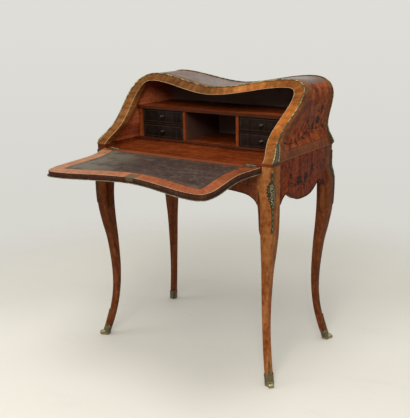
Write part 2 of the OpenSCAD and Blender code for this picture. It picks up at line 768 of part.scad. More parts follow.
// Keyhole plate on the outer face of the fall
module escutcheon() {
    color(bronze) on_fall() difference() {
        union() {
            translate([0, fall_front - key_at + 2, fall_t]) cylinder(r = 9, h = 1.4);
            for (s = [-1, 1]) translate([0, fall_front - key_at + 2 + s * 10, fall_t])
                cylinder(r = 4, h = 1.4);
        }
        key_hole(2.4, fall_t - 1, fall_t + 3);
    }
}

// Brass fillets: one on the rim's outer edge, and one round the back edge of the upper case
fillet_over = 1.5;
module rim_fillet() {
    color(brass) on_slope() rotate([90, 0, 0]) linear_extrude(fillet_t)
        polygon(band(-fillet_over, fillet_w - fillet_over, stretch));
}
module back_fillet() {
    color(brass) along_y(half_d - fillet_w, half_d) polygon(band(-fillet_t, 0, 1));
}

// Corner mounts at the foot of the upper case: they swell out just above the belt and thin out upward
mount_steps = floor(steps * corner_mount_h / waist_up);
mount_deep = 12;
mount_swell = [[0, 0.3], [0.12, 1], [0.4, 0.62], [0.7, 0.4], [1, 0]];
function mount_reach(u) = mount_t + (corner_mount_out - mount_t) * lookup(u, mount_swell);
module corner_mount_band() {
    over = [for (i = [0:mount_steps])
        inset_point(curves[0], i / steps, -mount_reach(i / mount_steps), 1)];
    under = part_of(half_outline(0, 1), 0, mount_steps);
    polygon(concat(over, reversed(under)));
}
module corner_mounts_front() {
    color(bronze) for (sx = [-1, 1]) mirror([sx < 0 ? 1 : 0, 0, 0]) intersection() {
        along_y(-half_d, half_d) corner_mount_band();
        slope_slab(0.3, mount_deep);
    }
}
module corner_mounts_back() {
    color(bronze) for (sx = [-1, 1]) mirror([sx < 0 ? 1 : 0, 0, 0])
        along_y(half_d - fillet_w - 0.1 - mount_deep, half_d - fillet_w - 0.1) corner_mount_band();
}

leg_front_left();
leg_front_right();
leg_back_left();
leg_back_right();
shoe_front_left();
shoe_front_right();
shoe_back_left();
shoe_back_right();
front_frieze();
back_frieze();
side_apron_left();
side_apron_right();
bed_bearers();
writing_bed();
upper_side_left();
upper_side_right();
top_board();
back_board();
front_rim();
nest_base();
nest_shelf();
nest_ends();
nest_divider_left();
nest_divider_right();
nest_rails();
drawer_front_upper_left();
drawer_front_lower_left();
drawer_front_upper_right();
drawer_front_lower_right();
drawer_box_upper_left();
drawer_box_lower_left();
drawer_box_upper_right();
drawer_box_lower_right();
knob_upper_left();
knob_lower_left();
knob_upper_right();
knob_lower_right();
fall_board();
leather_panel();
fall_moulding();
hinge_case_leaves();
hinge_fall_leaves();
hinge_pins();
hinge_screws_case();
hinge_screws_fall();
lock_body();
lock_bolt();
strike_plate();
escutcheon();
rim_fillet();
back_fillet();
corner_mounts_front();
corner_mounts_back();
knee_mount_front_left();
knee_mount_front_right();
knee_mount_back_left();
knee_mount_back_right();
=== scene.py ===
import bmesh
import bpy
import math
import random
from mathutils import Matrix, Vector, kdtree

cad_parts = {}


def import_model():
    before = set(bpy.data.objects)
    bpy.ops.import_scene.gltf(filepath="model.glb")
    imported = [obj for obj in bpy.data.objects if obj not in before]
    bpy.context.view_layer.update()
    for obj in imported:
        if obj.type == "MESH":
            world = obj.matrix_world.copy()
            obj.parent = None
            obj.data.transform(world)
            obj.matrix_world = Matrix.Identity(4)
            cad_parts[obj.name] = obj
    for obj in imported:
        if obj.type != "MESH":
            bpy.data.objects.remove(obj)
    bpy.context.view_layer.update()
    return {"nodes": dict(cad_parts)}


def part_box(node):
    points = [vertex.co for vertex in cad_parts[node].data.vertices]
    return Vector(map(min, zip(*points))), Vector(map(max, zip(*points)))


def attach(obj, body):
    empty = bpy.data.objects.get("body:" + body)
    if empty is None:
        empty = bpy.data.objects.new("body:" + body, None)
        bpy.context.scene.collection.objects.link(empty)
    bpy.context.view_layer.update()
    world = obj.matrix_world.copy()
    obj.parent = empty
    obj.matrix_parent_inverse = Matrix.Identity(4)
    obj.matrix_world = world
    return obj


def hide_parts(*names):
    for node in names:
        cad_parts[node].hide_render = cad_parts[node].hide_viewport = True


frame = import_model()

# Slant-front desk. Shapes are worked out in millimetres and turned into metres when a mesh is made.
# X runs to the right, Y to the back, Z up, with the origin on the floor under the middle of the case.
MM = 0.001
SHARP_EDGE = math.radians(40)


def low(node):
    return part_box(node)[0] / MM


def high(node):
    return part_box(node)[1] / MM


# Sizes that the frame gives
HALF_W = high("front_rim").x
HALF_D = high("back_board").y
BELT = low("back_board").z
RISE = high("top_board").z - BELT
BED = high("writing_bed").z
BED_UNDER = low("writing_bed").z
NEST_FRONT = low("nest_ends").y

# Outline of the upper case
WAIST_IN = 19.5
WAIST_UP = 70
SHOULDER_IN = 3.5
SHOULDER_DROP = 57
CROWN_IN = 78
DIP = 32.5
SIDE_HANDLE = 28
SLOPE = math.radians(42.3)
STRETCH = 1 / math.sin(SLOPE)
RIM_W = 35
RIM_T = 20
BOARD_T = 18

# Fall, open. Places on it run out from the hinge line and down from its inner face.
DROOP = math.radians(5.0)
FALL_T = 17
FALL_IN = RIM_W + 4
LIP_OVER = 0.5
BORDER = 42
JOINT_IN = 7
PIVOT_Y = -HALF_D + JOINT_IN
CASE_CLEAR = -HALF_D - 1.1
PIVOT_DEEP = math.cos(SLOPE) * (BELT - BED) + math.sin(SLOPE) * JOINT_IN
PIVOT_V = -math.sin(SLOPE) * (BELT - BED) + math.cos(SLOPE) * JOINT_IN
FALL_FRONT = (RISE - DIP) * STRETCH - FALL_IN - PIVOT_V
FALL_MIDDLE = Vector((0, 125))
LEATHER_IN = FALL_IN + BORDER
LEAF_START = 3.8
LEAF_W = 18
LEAF_BACK = LEAF_START + LEAF_W + 2.4
HINGE_X = HALF_W - 75
HINGE_HALF = 18.4
LOCK_HALF = 18
LOCK_D = 30
KEYHOLE_OUT = FALL_FRONT - 18

# Legs, shoes and mounts
KNEE_L = 278
ANKLE_IN = 32
KNEE_W = 45
KNEE_OUT = 8.5
ANKLE_W = 21.5
STILE_W = 52
STILE_CUT = HALF_W - STILE_W - 1
LEG_R = 4
SHOE_LOW = 32
SHOE_H = 98
SOLE = 3
MOUNT_DROP = 19
MOUNT_L = 190
MOUNT_W = 40.5
TOE_OUT = 17
TOE_R = 7.5
TOE_W = 15
TOE_L = 18

# Friezes and aprons
FRIEZE_T = 18
FRIEZE_IN = 4
FRIEZE_LOW = BELT - 98
LOBE_LOW = BELT - 140
ARCH_LOW = BELT - 105
FRIEZE_HALF = HALF_W - STILE_W - 0.2
APRON_HALF = HALF_D - STILE_W - 0.2
APRON_X = HALF_W - 0.6

CORNERS = {"front_left": (-1, -1), "front_right": (1, -1), "back_left": (-1, 1), "back_right": (1, 1)}
SIDES = {"left": -1, "right": 1}


def lerp(a, b, t):
    return a + (b - a) * t


def smooth(t):
    """Runs from 0 to 1 with soft ends."""
    t = min(max(t, 0.0), 1.0)
    return t * t * (3 - 2 * t)


def outline_curves():
    """Four curves, each four points, from the right end of the belt to the middle of the top."""
    belt = Vector((HALF_W, 0))
    waist = Vector((HALF_W - WAIST_IN, WAIST_UP))
    shoulder = Vector((HALF_W - SHOULDER_IN, RISE - SHOULDER_DROP))
    crown = Vector((HALF_W - CROWN_IN, RISE))
    dip = Vector((0, RISE - DIP))
    up = Vector((0, SIDE_HANDLE))
    return [
        (belt, belt + up, waist - up, waist),
        (waist, waist + up, shoulder - up, shoulder),
        (shoulder, shoulder + Vector((0, 0.65 * SHOULDER_DROP)), crown + Vector((0.64 * CROWN_IN, 0)), crown),
        (crown, Vector((0.7 * crown.x, crown.y)), Vector((0.32 * crown.x, dip.y)), dip),
    ]


# Places along the outline: the middle of a shoulder, the middle of the top, and the left end of the belt
CURVES = outline_curves()
SHOULDER = 2.5
MIDDLE = len(CURVES)
ROUND = 2 * MIDDLE


def inset(u, e, s=1.0):
    """A point of the outline, u from 0 at its right foot to 8 at its left, moved in by e; heights times s."""
    if u > MIDDLE:
        p = inset(ROUND - u, e, s)
        return Vector((-p.x, p.y))
    k = min(int(u), MIDDLE - 1)
    t = u - k
    c = CURVES[k]
    p = c[0] * (1 - t) ** 3 + c[1] * 3 * t * (1 - t) ** 2 + c[2] * 3 * t * t * (1 - t) + c[3] * t ** 3
    h = (c[1] - c[0]) * (1 - t) ** 2 + (c[2] - c[1]) * 2 * t * (1 - t) + (c[3] - c[2]) * t * t
    n = Vector((-h.y * s, h.x)).normalized()
    return Vector((p.x, p.y * s)) + n * e


def runs_along(points):
    """Distances along a broken line from its first point to each of its points."""
    runs = [0.0]
    for a, b in zip(points, points[1:]):
        runs.append(runs[-1] + (b - a).length)
    return runs


def spaced(u0, u1, step, e=0.0, s=1.0):
    """Values of u from u0 to u1 that lie about step apart along the outline, with their distances."""
    fine = [lerp(u0, u1, i / 1200) for i in range(1201)]
    runs = runs_along([inset(u, e, s) for u in fine])
    count = max(2, round(runs[-1] / step))
    found = []
    j = 0
    for i in range(count + 1):
        want = runs[-1] * i / count
        while j < len(runs) - 2 and runs[j + 1] < want:
            j += 1
        t = (want - runs[j]) / max(runs[j + 1] - runs[j], 1e-9)
        found.append((lerp(fine[j], fine[j + 1], t), want))
    return found


def on_slope(x, up, deep=0.0):
    """A point of the sloping face, up it from the belt, at a depth square behind it."""
    return Vector((
        x,
        -HALF_D + up * math.cos(SLOPE) + deep * math.sin(SLOPE),
        BELT + up * math.sin(SLOPE) - deep * math.cos(SLOPE),
    ))


def slope_y(height, deep):
    """Where the plane at that depth behind the sloping face lies, at a height above the belt."""
    return -HALF_D + height / math.tan(SLOPE) + deep / math.sin(SLOPE)


def on_fall(x, out, down=0.0):
    """A point of the open fall, out from the hinge line, at a depth below its inner face."""
    return Vector((
        x,
        PIVOT_Y - out * math.cos(DROOP) + down * math.sin(DROOP),
        BED - out * math.sin(DROOP) - down * math.cos(DROOP),
    ))


def fall_point(u, e, down):
    """A point of the fall that lies on the stretched outline moved in by e."""
    p = inset(u, e, STRETCH)
    return on_fall(p.x, max(p.y - PIVOT_V, 0.3), down)


# A leg in its own corner: the case's faces are at X = 0 and Y = 0, and the case is on their negative side
def leg_rows():
    """Height, inward distance and width of the leg at places from the floor up to the belt."""
    slim = BELT - KNEE_L
    knee_in = KNEE_W / 2 - KNEE_OUT
    slender = [
        (-0.09, -0.38, -2), (0, -0.03, -1), (0.042, 0.1, -1), (0.116, 0.34, 0), (0.233, 0.66, 0),
        (0.35, 0.88, 0), (0.477, 1, 1), (0.64, 1, 4), (0.85, 0.84, 9), (1.0, 0.625, 16),
    ]
    rows = [(h * slim, i * ANKLE_IN, ANKLE_W + w) for h, i, w in slender]
    rows += [(BELT - 0.78 * KNEE_L, knee_in + 1, KNEE_W - 2), (BELT - 0.56 * KNEE_L, knee_in, KNEE_W)]
    rows += [(BELT - 0.39 * KNEE_L, knee_in + 2, KNEE_W + 1), (BELT - 0.245 * KNEE_L, STILE_W / 2, STILE_W)]
    rows += [(BED_UNDER, STILE_W / 2, STILE_W), (BELT, STILE_W / 2, STILE_W)]
    return [Vector(r) for r in rows]


def spline(a, b, c, d, t):
    """A smooth curve from b to c that also heeds a and d."""
    return b + 0.5 * t * (c - a + t * (2 * a - 5 * b + 4 * c - d + t * (3 * (b - c) + d - a)))


def smoothed(points, fine):
    """A smooth curve from the second point up to the last but one, with fine points to each gap."""
    made = []
    for k in range(1, len(points) - 2):
        made += [spline(*points[k - 1:k + 3], i / fine) for i in range(fine)]
    return made


LEG = smoothed(leg_rows()[:-1], 6) + leg_rows()[-3:]


def leg_at(z):
    """The leg's inward distance and width at a height."""
    for a, b in zip(LEG, LEG[1:]):
        if z <= b.x or b is LEG[-1]:
            t = (z - a.x) / (b.x - a.x)
            return lerp(a.y, b.y, t), lerp(a.z, b.z, t)


def round_leg(z, q, grow=0.0):
    """A point on the leg, q along its surface from its outer edge, positive round to the Y face."""
    inward, width = leg_at(z)
    half = width / 2 + grow
    r = LEG_R + max(grow, 0.0)
    k = half - r
    arc = r * math.pi / 4
    d = abs(q)
    if d <= arc:
        x, y = k + r * math.cos(math.pi / 4 + d / r), k + r * math.sin(math.pi / 4 + d / r)
    elif d <= arc + 2 * k:
        x, y = k - (d - arc), half
    elif d <= 3 * arc + 2 * k:
        a = math.pi / 2 + (d - arc - 2 * k) / r
        x, y = -k + r * math.cos(a), k + r * math.sin(a)
    elif d <= 3 * arc + 4 * k:
        x, y = -half, k - (d - 3 * arc - 2 * k)
    else:
        a = math.pi + (d - 3 * arc - 4 * k) / r
        x, y = -k + r * math.cos(a), -k + r * math.sin(a)
    if q < 0:
        x, y = y, x
    return Vector((x - inward, y - inward, z))


def half_round(z):
    """Half the way round the leg at a height."""
    return math.pi * LEG_R + 4 * (leg_at(z)[1] / 2 - LEG_R)


def at_corner(p, corner):
    """Puts a point of a leg's own corner into one of the four corners of the case."""
    sx, sy = CORNERS[corner]
    return Vector((sx * (HALF_W + p.x), sy * (HALF_D + p.y), p.z))


def on_leg(corner, z, q, grow=0.0):
    return at_corner(round_leg(z, q, grow), corner)


# Meshes
def shell(front, back, closed=False):
    """A closed skin between two grids of points; closed joins the ends of each row."""
    n, m = len(front), len(front[0])
    points = [p for row in front for p in row] + [p for row in back for p in row]
    size = n * m
    faces = []
    turns = m if closed else m - 1
    for i in range(n - 1):
        for j in range(turns):
            a, b = i * m + j, i * m + (j + 1) % m
            c, d = b + m, a + m
            faces.append((a, b, c, d))
            faces.append((d + size, c + size, b + size, a + size))
    for j in range(turns):
        a, b = j, (j + 1) % m
        faces.append((b, a, a + size, b + size))
        a, b = a + (n - 1) * m, b + (n - 1) * m
        faces.append((a, b, b + size, a + size))
    if not closed:
        for i in range(n - 1):
            a, b = i * m, (i + 1) * m
            faces.append((a, b, b + size, a + size))
            a, b = a + m - 1, b + m - 1
            faces.append((b, a, a + size, b + size))
    return points, faces


def skin(rings):
    """A skin through closed rings of points, with a face over each end."""
    m = len(rings[0])
    points = [p for ring in rings for p in ring]
    faces = []
    for i in range(len(rings) - 1):
        for j in range(m):
            a, b = i * m + j, i * m + (j + 1) % m
            faces.append((a, b, b + m, a + m))
    faces.append(tuple(range(m - 1, -1, -1)))
    faces.append(tuple(range((len(rings) - 1) * m, len(rings) * m)))
    return points, faces


def relief_shell(rows, columns, spot, closed=False):
    """A shell that stands out from a surface, and for each of its points a brightness that the cast metal
    finish reads as rubbed wear and painted shine. spot gives them, from shares of the length and width, for
    each place.
    """
    front, back, wear_and_painted_shine = [], [], []
    for i in range(rows + 1):
        found = [spot(i / rows, j / columns) for j in range(columns if closed else columns + 1)]
        front.append([over for over, under, relief in found])
        back.append([under for over, under, relief in found])
        wear_and_painted_shine += [Vector((relief, 0, 0)) for over, under, relief in found]
    return shell(front, back, closed), wear_and_painted_shine + [Vector()] * len(wear_and_painted_shine)


def prism(drawing, place, t0, t1):
    """A plate: a drawing of two coordinates, put in place at the depths t0 and t1."""
    return skin([[place(p[0], p[1], t) for p in drawing] for t in (t0, t1)])


def turns(count):
    """Angles at even steps round a circle."""
    return [2 * math.pi * j / count for j in range(count)]


def circle(r, count):
    return [(r * math.cos(a), r * math.sin(a)) for a in turns(count)]


def tube(path, radius, sides, flat, up):
    """A round bar along a path; flat squashes it along up, and radius may be a list."""
    rings = []
    for i, p in enumerate(path):
        ahead = path[min(i + 1, len(path) - 1)] - path[max(i - 1, 0)]
        side = ahead.cross(up).normalized()
        over = side.cross(ahead).normalized()
        r = radius[i] if isinstance(radius, list) else radius
        rings.append([p + side * r * math.cos(a) + over * r * flat * math.sin(a) for a in turns(sides)])
    return skin(rings)


def joined(*parts):
    """One mesh of several, each given by its points and faces."""
    points, faces = [], []
    for more_points, more_faces in parts:
        start = len(points)
        points += more_points
        faces += [tuple(i + start for i in f) for f in more_faces]
    return points, faces


def new_mesh(name, points, faces, bevel=0.0):
    """A mesh with its faces turned outwards; bevel rounds its sharp edges."""
    mesh = bpy.data.meshes.new(name)
    mesh.from_pydata([p * MM for p in points], [], faces)
    bm = bmesh.new()
    bm.from_mesh(mesh)
    bmesh.ops.recalc_face_normals(bm, faces=bm.faces)
    if bevel:
        turned = [e for e in bm.edges if len(e.link_faces) == 2 and e.calc_face_angle() > SHARP_EDGE]
        bmesh.ops.bevel(bm, geom=turned, offset=bevel * MM, segments=2, profile=0.5, affect="EDGES")
    bm.to_mesh(mesh)
    bm.free()
    return mesh


def new_object(name, data):
    made = bpy.data.objects.new(name, data)
    bpy.context.scene.collection.objects.link(made)
    return made


def store(mesh, name, values):
    """Keeps a vector of metres at each point of a mesh."""
    attribute = mesh.attributes.new(name, "FLOAT_VECTOR", "POINT")
    flat = [c * MM for v in values for c in v]
    attribute.data.foreach_set("vector", flat)


def piece(name, shape, body, slot, finish, replaces=(), sharp=35, bevel=0.0, **kept):
    """A mesh piece that rides on a body. kept gives named vectors, as a list or a rule, for its finish."""
    mesh = new_mesh(name, *shape, bevel)
    for word, rule in kept.items():
        places = [v.co / MM for v in mesh.vertices]
        store(mesh, word, [rule(p) for p in places] if callable(rule) else rule)
    mesh.shade_smooth()
    mesh.set_sharp_from_angle(angle=math.radians(sharp))
    made = new_object(name, mesh)
    mesh.materials.append(finish)
    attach(made, body)
    if replaces:
        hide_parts(*replaces)
    return made


def cut(made, boxes):
    """Cuts boxes of eight corner points out of a piece. Its kept vectors go on to the nearest point."""
    points = [v.co.copy() for v in made.data.vertices]
    nearest = kdtree.KDTree(len(points))
    for i, p in enumerate(points):
        nearest.insert(p, i)
    nearest.balance()
    words = [a.name for a in made.data.attributes if a.data_type == "FLOAT_VECTOR" and a.name != "position"]
    vectors = {word: [Vector(d.vector) / MM for d in made.data.attributes[word].data] for word in words}
    sides = [(0, 1, 3, 2), (4, 6, 7, 5), (0, 4, 5, 1), (2, 3, 7, 6), (0, 2, 6, 4), (1, 5, 7, 3)]
    for corners in boxes:
        tool = new_object(made.name + "_cut", new_mesh(made.name + "_cut", corners, sides))
        modifier = made.modifiers.new("cut", "BOOLEAN")
        modifier.operation = "DIFFERENCE"
        modifier.solver = "EXACT"
        modifier.object = tool
        bpy.context.view_layer.update()
        graph = bpy.context.evaluated_depsgraph_get()
        result = bpy.data.meshes.new_from_object(made.evaluated_get(graph))
        made.modifiers.clear()
        made.data = result
        bpy.data.objects.remove(tool)
    for word, values in vectors.items():
        if word in made.data.attributes:
            made.data.attributes.remove(made.data.attributes[word])
        store(made.data, word, [values[nearest.find(v.co)[1]] for v in made.data.vertices])


def node_finish(nodes, finish, bevel):
    """Gives nodes of the frame a finish, and eases their edges."""
    for name in nodes:
        made = frame["nodes"][name]
        made.data.materials.clear()
        made.data.materials.append(finish)
        modifier = made.modifiers.new("eased_edges", "BEVEL")
        modifier.width = bevel * MM
        modifier.segments = 2
        modifier.limit_method = "ANGLE"
        modifier.angle_limit = SHARP_EDGE


# Finishes
class Wire:
    """A value, colour or vector inside a material, with arithmetic on it."""

    def __init__(self, tree, socket):
        self.tree = tree
        self.socket = socket

    def node(self, kind, settings, inputs, out=0):
        """Adds a node: its settings are set first, then its sockets get values or links."""
        made = self.tree.nodes.new("ShaderNode" + kind)
        for name, value in settings.items():
            if name == "stops":
                while len(made.color_ramp.elements) < len(value):
                    made.color_ramp.elements.new(1.0)
                for element, (place, colour) in zip(made.color_ramp.elements, value):
                    element.position = place
                    element.color = (*colour, 1)
            else:
                setattr(made, name, value)
        for name, value in inputs.items():
            socket = made.inputs[name]
            if isinstance(value, Wire):
                self.tree.links.new(value.socket, socket)
            elif isinstance(value, tuple) and len(value) == 3 and len(socket.default_value) == 4:
                socket.default_value = (*value, 1)
            else:
                socket.default_value = value
        return Wire(self.tree, made.outputs[out])

    def calc(self, operation, *others):
        return self.node("Math", {"operation": operation}, dict(enumerate((self, *others))))

    def __add__(self, other):
        return self.calc("ADD", other)

    def __sub__(self, other):
        return self.calc("SUBTRACT", other)

    def __mul__(self, other):
        return self.calc("MULTIPLY", other)

    def __rsub__(self, other):
        return self * -1 + other

    __radd__ = __add__

    def least(self, other):
        return self.calc("MINIMUM", other)

    def most(self, other):
        return self.calc("MAXIMUM", other)

    def spread(self, start, end, to=(0.0, 1.0), kind="SMOOTHSTEP"):
        """Runs from to[0] to to[1] while the value goes from start to end."""
        sockets = {"Value": self, "From Min": start, "From Max": end, "To Min": to[0], "To Max": to[1]}
        return self.node("MapRange", {"interpolation_type": kind}, sockets)

    def below(self, edge, blur=0.0002):
        return self.spread(edge - blur, edge + blur, (1.0, 0.0))

    def between(self, start, end, blur=0.0002):
        return self.below(end, blur) * (1 - self.below(start, blur))

    def mix(self, a, b):
        """A colour: a where the value is 0, b where it is 1."""
        return self.node("Mix", {"data_type": "RGBA"}, {0: self, 6: a, 7: b}, 2)

    def tones(self, *stops):
        return self.node("ValToRGB", {"stops": stops}, {"Fac": self})

    def times(self, other):
        """Multiplies axis by axis, or colour by colour."""
        return self.node("VectorMath", {"operation": "MULTIPLY"}, {0: self, 1: other})

    def scaled(self, factor):
        return self.node("VectorMath", {"operation": "SCALE"}, {0: self, "Scale": factor})

    def axis(self, i):
        return self.node("SeparateXYZ", {}, {0: self}, i)

    def noise(self, stretch, detail=3.0, rough=0.5, bend=0.0):
        """Noise that is finer where stretch is more: one number, or one for each axis."""
        place = self.times(stretch if isinstance(stretch, tuple) else (stretch,) * 3)
        sockets = {"Vector": place, "Scale": 1.0, "Detail": detail, "Roughness": rough, "Distortion": bend}
        return self.node("TexNoise", {}, sockets)

    def cells(self, stretch):
        """Distance to the nearest edge in a pattern of cells."""
        place = self.times((stretch,) * 3)
        sockets = {"Vector": place, "Scale": 1.0}
        return self.node("TexVoronoi", {"feature": "DISTANCE_TO_EDGE"}, sockets, "Distance")

    def kept(self, name):
        return self.node("Attribute", {"attribute_name": name}, {}, "Vector")

    def joined(self, y, z):
        return self.node("CombineXYZ", {}, {0: self, 1: y, 2: z})


def blank_finish(name):
    """A new material, with its tree, its shader and the places on the piece."""
    made = bpy.data.materials.new(name)
    made.use_nodes = True
    tree = made.node_tree
    place = Wire(tree, tree.nodes.new("ShaderNodeTexCoord").outputs["Object"])
    return made, tree, tree.nodes["Principled BSDF"], place


def new_finish(name, draw, plain):
    """A material: draw gives what changes over the surface, plain what is the same all over."""
    made, tree, shader, place = blank_finish(name)
    changing = draw(place)
    height, depth = changing.pop("Height")
    changing["Normal"] = place.node("Bump", {}, {"Strength": 1.0, "Distance": depth, "Height": height})
    for socket, value in {**plain, **changing}.items():
        if isinstance(value, Wire):
            tree.links.new(value.socket, shader.inputs[socket])
        else:
            shader.inputs[socket].default_value = value
    return made


POLISH = {"Coat Weight": 0.015, "Coat Roughness": 0.14, "Specular IOR Level": 0.035}
FRESH_POLISH = {"Coat Weight": 0.12, "Coat Roughness": 0.12, "Specular IOR Level": 0.2}
OAK_PLAIN = {"Specular IOR Level": 0.35}


def figured(g, place, tones, stripe, figure, mottle=0.3):
    """Colour, height, patches and open pores of a veneer whose grain runs along the first axis of g."""
    streaks = g.noise((3.5, 70.0 * stripe, 70.0 * stripe), 6.0, 0.62, 0.4)
    fine = g.noise((14.0, 420.0, 420.0), 3.0, 0.6)
    pores = g.noise((45.0, 1300.0, 1300.0), 2.0, 0.5)
    flame = g.noise((48.0, 22.0, 22.0), 3.0, 0.5, 0.8)
    patches = place.noise(7.0, 3.0, 0.55)
    spots = place.noise((105.0, 105.0, 70.0), 3.0, 0.6) - 0.5
    blotches = (place.noise((30.0, 30.0, 17.0), 3.0, 0.55, 0.6) - 0.5) * 0.6 + spots * 1.1
    value = streaks * 0.62 + fine * 0.26 + flame * 0.22 * figure + patches * 0.3 + blotches * mottle
    value = value.spread(0.42, 0.98, kind="LINEAR")
    dark, mid, light = tones
    pitted = pores.spread(0.56, 0.66)
    colour = value.tones((0.08, dark), (0.5, mid), (0.92, light)).scaled(1 - pitted * 0.34)
    return colour, (1 - pitted) * 0.7 + fine * 0.3, patches, pitted


def polished(place, colour, height, patches, pitted, rough, dirt=0.18, pits=0.18):
    """A polished surface: grime darkens it, and grime and open pores roughen it."""
    grime = place.noise(19.0, 4.0, 0.6).spread(0.5, 0.78)
    roughness = patches.spread(0.35, 0.65, (rough - 0.07, rough + 0.1)) + pitted * pits + grime * 0.08
    colour = colour.scaled(1 - grime * dirt)
    return {"Base Color": colour, "Roughness": roughness, "Height": (height, 0.00007)}


def veneer(
    name, tones, grain=None, rough=0.33, stripe=1.0, figure=1.0, mottle=0.3, polish=POLISH, after=None,
):
    """A polished veneer. grain is a rule on places, or None for the kept grain of the piece."""

    def draw(place):
        g = grain(place) if grain else place.kept("grain")
        colour, height, patches, pitted = figured(g, place, tones, stripe, figure, mottle)
        if after:
            colour = after(place, colour)
        return polished(place, colour, height, patches, pitted, rough)

    return new_finish(name, draw, polish)


def grain_x(place):
    return place


def grain_z(place):
    return place.axis(2).joined(place.axis(0), place.axis(1))


# Linear colours, dark, middle and light
CASE_TONES = ((0.058, 0.010, 0.003), (0.225, 0.038, 0.005), (0.360, 0.092, 0.018))
TOP_TONES = ((0.026, 0.007, 0.002), (0.088, 0.025, 0.004), (0.165, 0.056, 0.011))
BAND_TONES = ((0.075, 0.020, 0.006), (0.200, 0.058, 0.017), (0.340, 0.125, 0.045))
APRON_TONES = ((0.045, 0.006, 0.002), (0.160, 0.023, 0.003), (0.285, 0.055, 0.010))
FRIEZE_TONES = ((0.085, 0.022, 0.010), (0.250, 0.070, 0.027), (0.390, 0.135, 0.058))
RIM_TONES = ((0.062, 0.019, 0.004), (0.160, 0.055, 0.013), (0.285, 0.122, 0.037))
FALL_TONES = ((0.170, 0.055, 0.022), (0.325, 0.122, 0.056), (0.480, 0.220, 0.120))
# The leg tones come as a lit copy and a darker copy that is painted shade.
LEG_TONES = ((0.085, 0.017, 0.004), (0.240, 0.070, 0.016), (0.400, 0.155, 0.048))
SHADED_LEG_TONES = ((0.045, 0.012, 0.004), (0.138, 0.037, 0.011), (0.255, 0.086, 0.030))
LINING_TONES = ((0.180, 0.042, 0.017), (0.440, 0.102, 0.038), (0.600, 0.180, 0.080))
INNER_TONES = ((0.040, 0.007, 0.002), (0.130, 0.023, 0.005), (0.235, 0.055, 0.013))
NEST_TONES = ((0.070, 0.015, 0.004), (0.200, 0.043, 0.011), (0.310, 0.090, 0.026))
DRAWER_TONES = ((0.004, 0.003, 0.002), (0.012, 0.008, 0.006), (0.030, 0.016, 0.011))
OAK_TONES = ((0.060, 0.032, 0.016), (0.125, 0.068, 0.034), (0.190, 0.110, 0.060))
STRING_TONES = ((0.300, 0.190, 0.090), (0.450, 0.300, 0.150), (0.560, 0.400, 0.220))
DARK_TONES = ((0.010, 0.004, 0.003), (0.026, 0.010, 0.007), (0.050, 0.020, 0.012))
RISER_TONES = ((0.028, 0.010, 0.006), (0.075, 0.028, 0.017), (0.140, 0.058, 0.036))
FLOWER_TONES = ((0.006, 0.002, 0.001), (0.014, 0.004, 0.002), (0.030, 0.009, 0.004))
LEAF_TONES = ((0.028, 0.006, 0.002), (0.058, 0.011, 0.003), (0.110, 0.022, 0.006))
DULL_TONES = ((0.030, 0.020, 0.014), (0.055, 0.038, 0.026), (0.085, 0.06, 0.04))

# Widths of the banding, of the dark line inside it and of the pale edge, in metres
BAND_W = 0.028
LINE_W = 0.0012
EDGE_W = 0.0016


def banded(name, inner, outer):
    """A panel with a cross-banded border. Its kept border holds the distances to foot, back and front."""

    def draw(place):
        g = place.kept("grain")
        off = place.kept("border")
        foot, back, front = off.axis(0), off.axis(1), off.axis(2)
        nearest = foot.least(back).least(front)
        cross = foot.joined(g.axis(1), g.axis(2))
        aside = back.least(front).joined(g.axis(0), g.axis(2))
        at_foot = (foot - back.least(front)).below(0.0, 0.0001)
        field, height, patches, pitted = figured(g, place, inner, 0.6, 1.0, 0.9)
        band = figured(at_foot.mix(aside, cross), place, outer, 1.6, 0.5)[0]
        line = nearest.between(BAND_W - LINE_W / 2, BAND_W + LINE_W / 2)
        colour = line.mix(nearest.below(BAND_W).mix(field, band), DARK_TONES[1])
        colour = (nearest.below(EDGE_W) * 0.55).mix(colour, STRING_TONES[0])
        return polished(place, colour, height * (1 - line * 0.6), patches, pitted, 0.32, 0.2, 0.15)

    return new_finish(name, draw, POLISH)


def metal(name, bright, dull, dirt, worn=0.5, rough=0.36, relief=False):
    """Gilt metal that has dulled, with dirt in its hollows and brighter rubbed places. On cast pieces a kept
    value sets both: high for rubbed places and painted shine, low for dirt.
    """

    def draw(place):
        cloud = place.noise(60.0, 4.0, 0.6)
        fleck = place.noise(420.0, 3.0, 0.6)
        rubbed = (cloud * 0.7 + fleck * 0.3).spread(0.42, 0.62)
        stain = place.noise(130.0, 4.0, 0.65).spread(0.5, 0.68)
        if relief:
            # Cast pieces: the kept value marks rubbed wear and painted shine where high, dirt where low.
            wear_and_painted_shine = place.kept("relief").axis(0)
            rubbed = wear_and_painted_shine.spread(0.0004, 0.0009) * (0.5 + rubbed * 0.5)
            stain = wear_and_painted_shine.spread(0.0002, 0.0005, (0.9, 0.0)).most(stain * 0.4)
        colour = (stain * 0.75).mix((rubbed * worn).mix(dull, bright), dirt)
        roughness = fleck.spread(0.3, 0.7, (rough - 0.08, rough + 0.12)) + stain * 0.2
        return {
            "Base Color": colour, "Roughness": roughness, "Metallic": 1 - stain * 0.55,
            "Height": (fleck * 0.6 + cloud * 0.4, 0.00012),
        }

    return new_finish(name, draw, {"Specular IOR Level": 0.5})


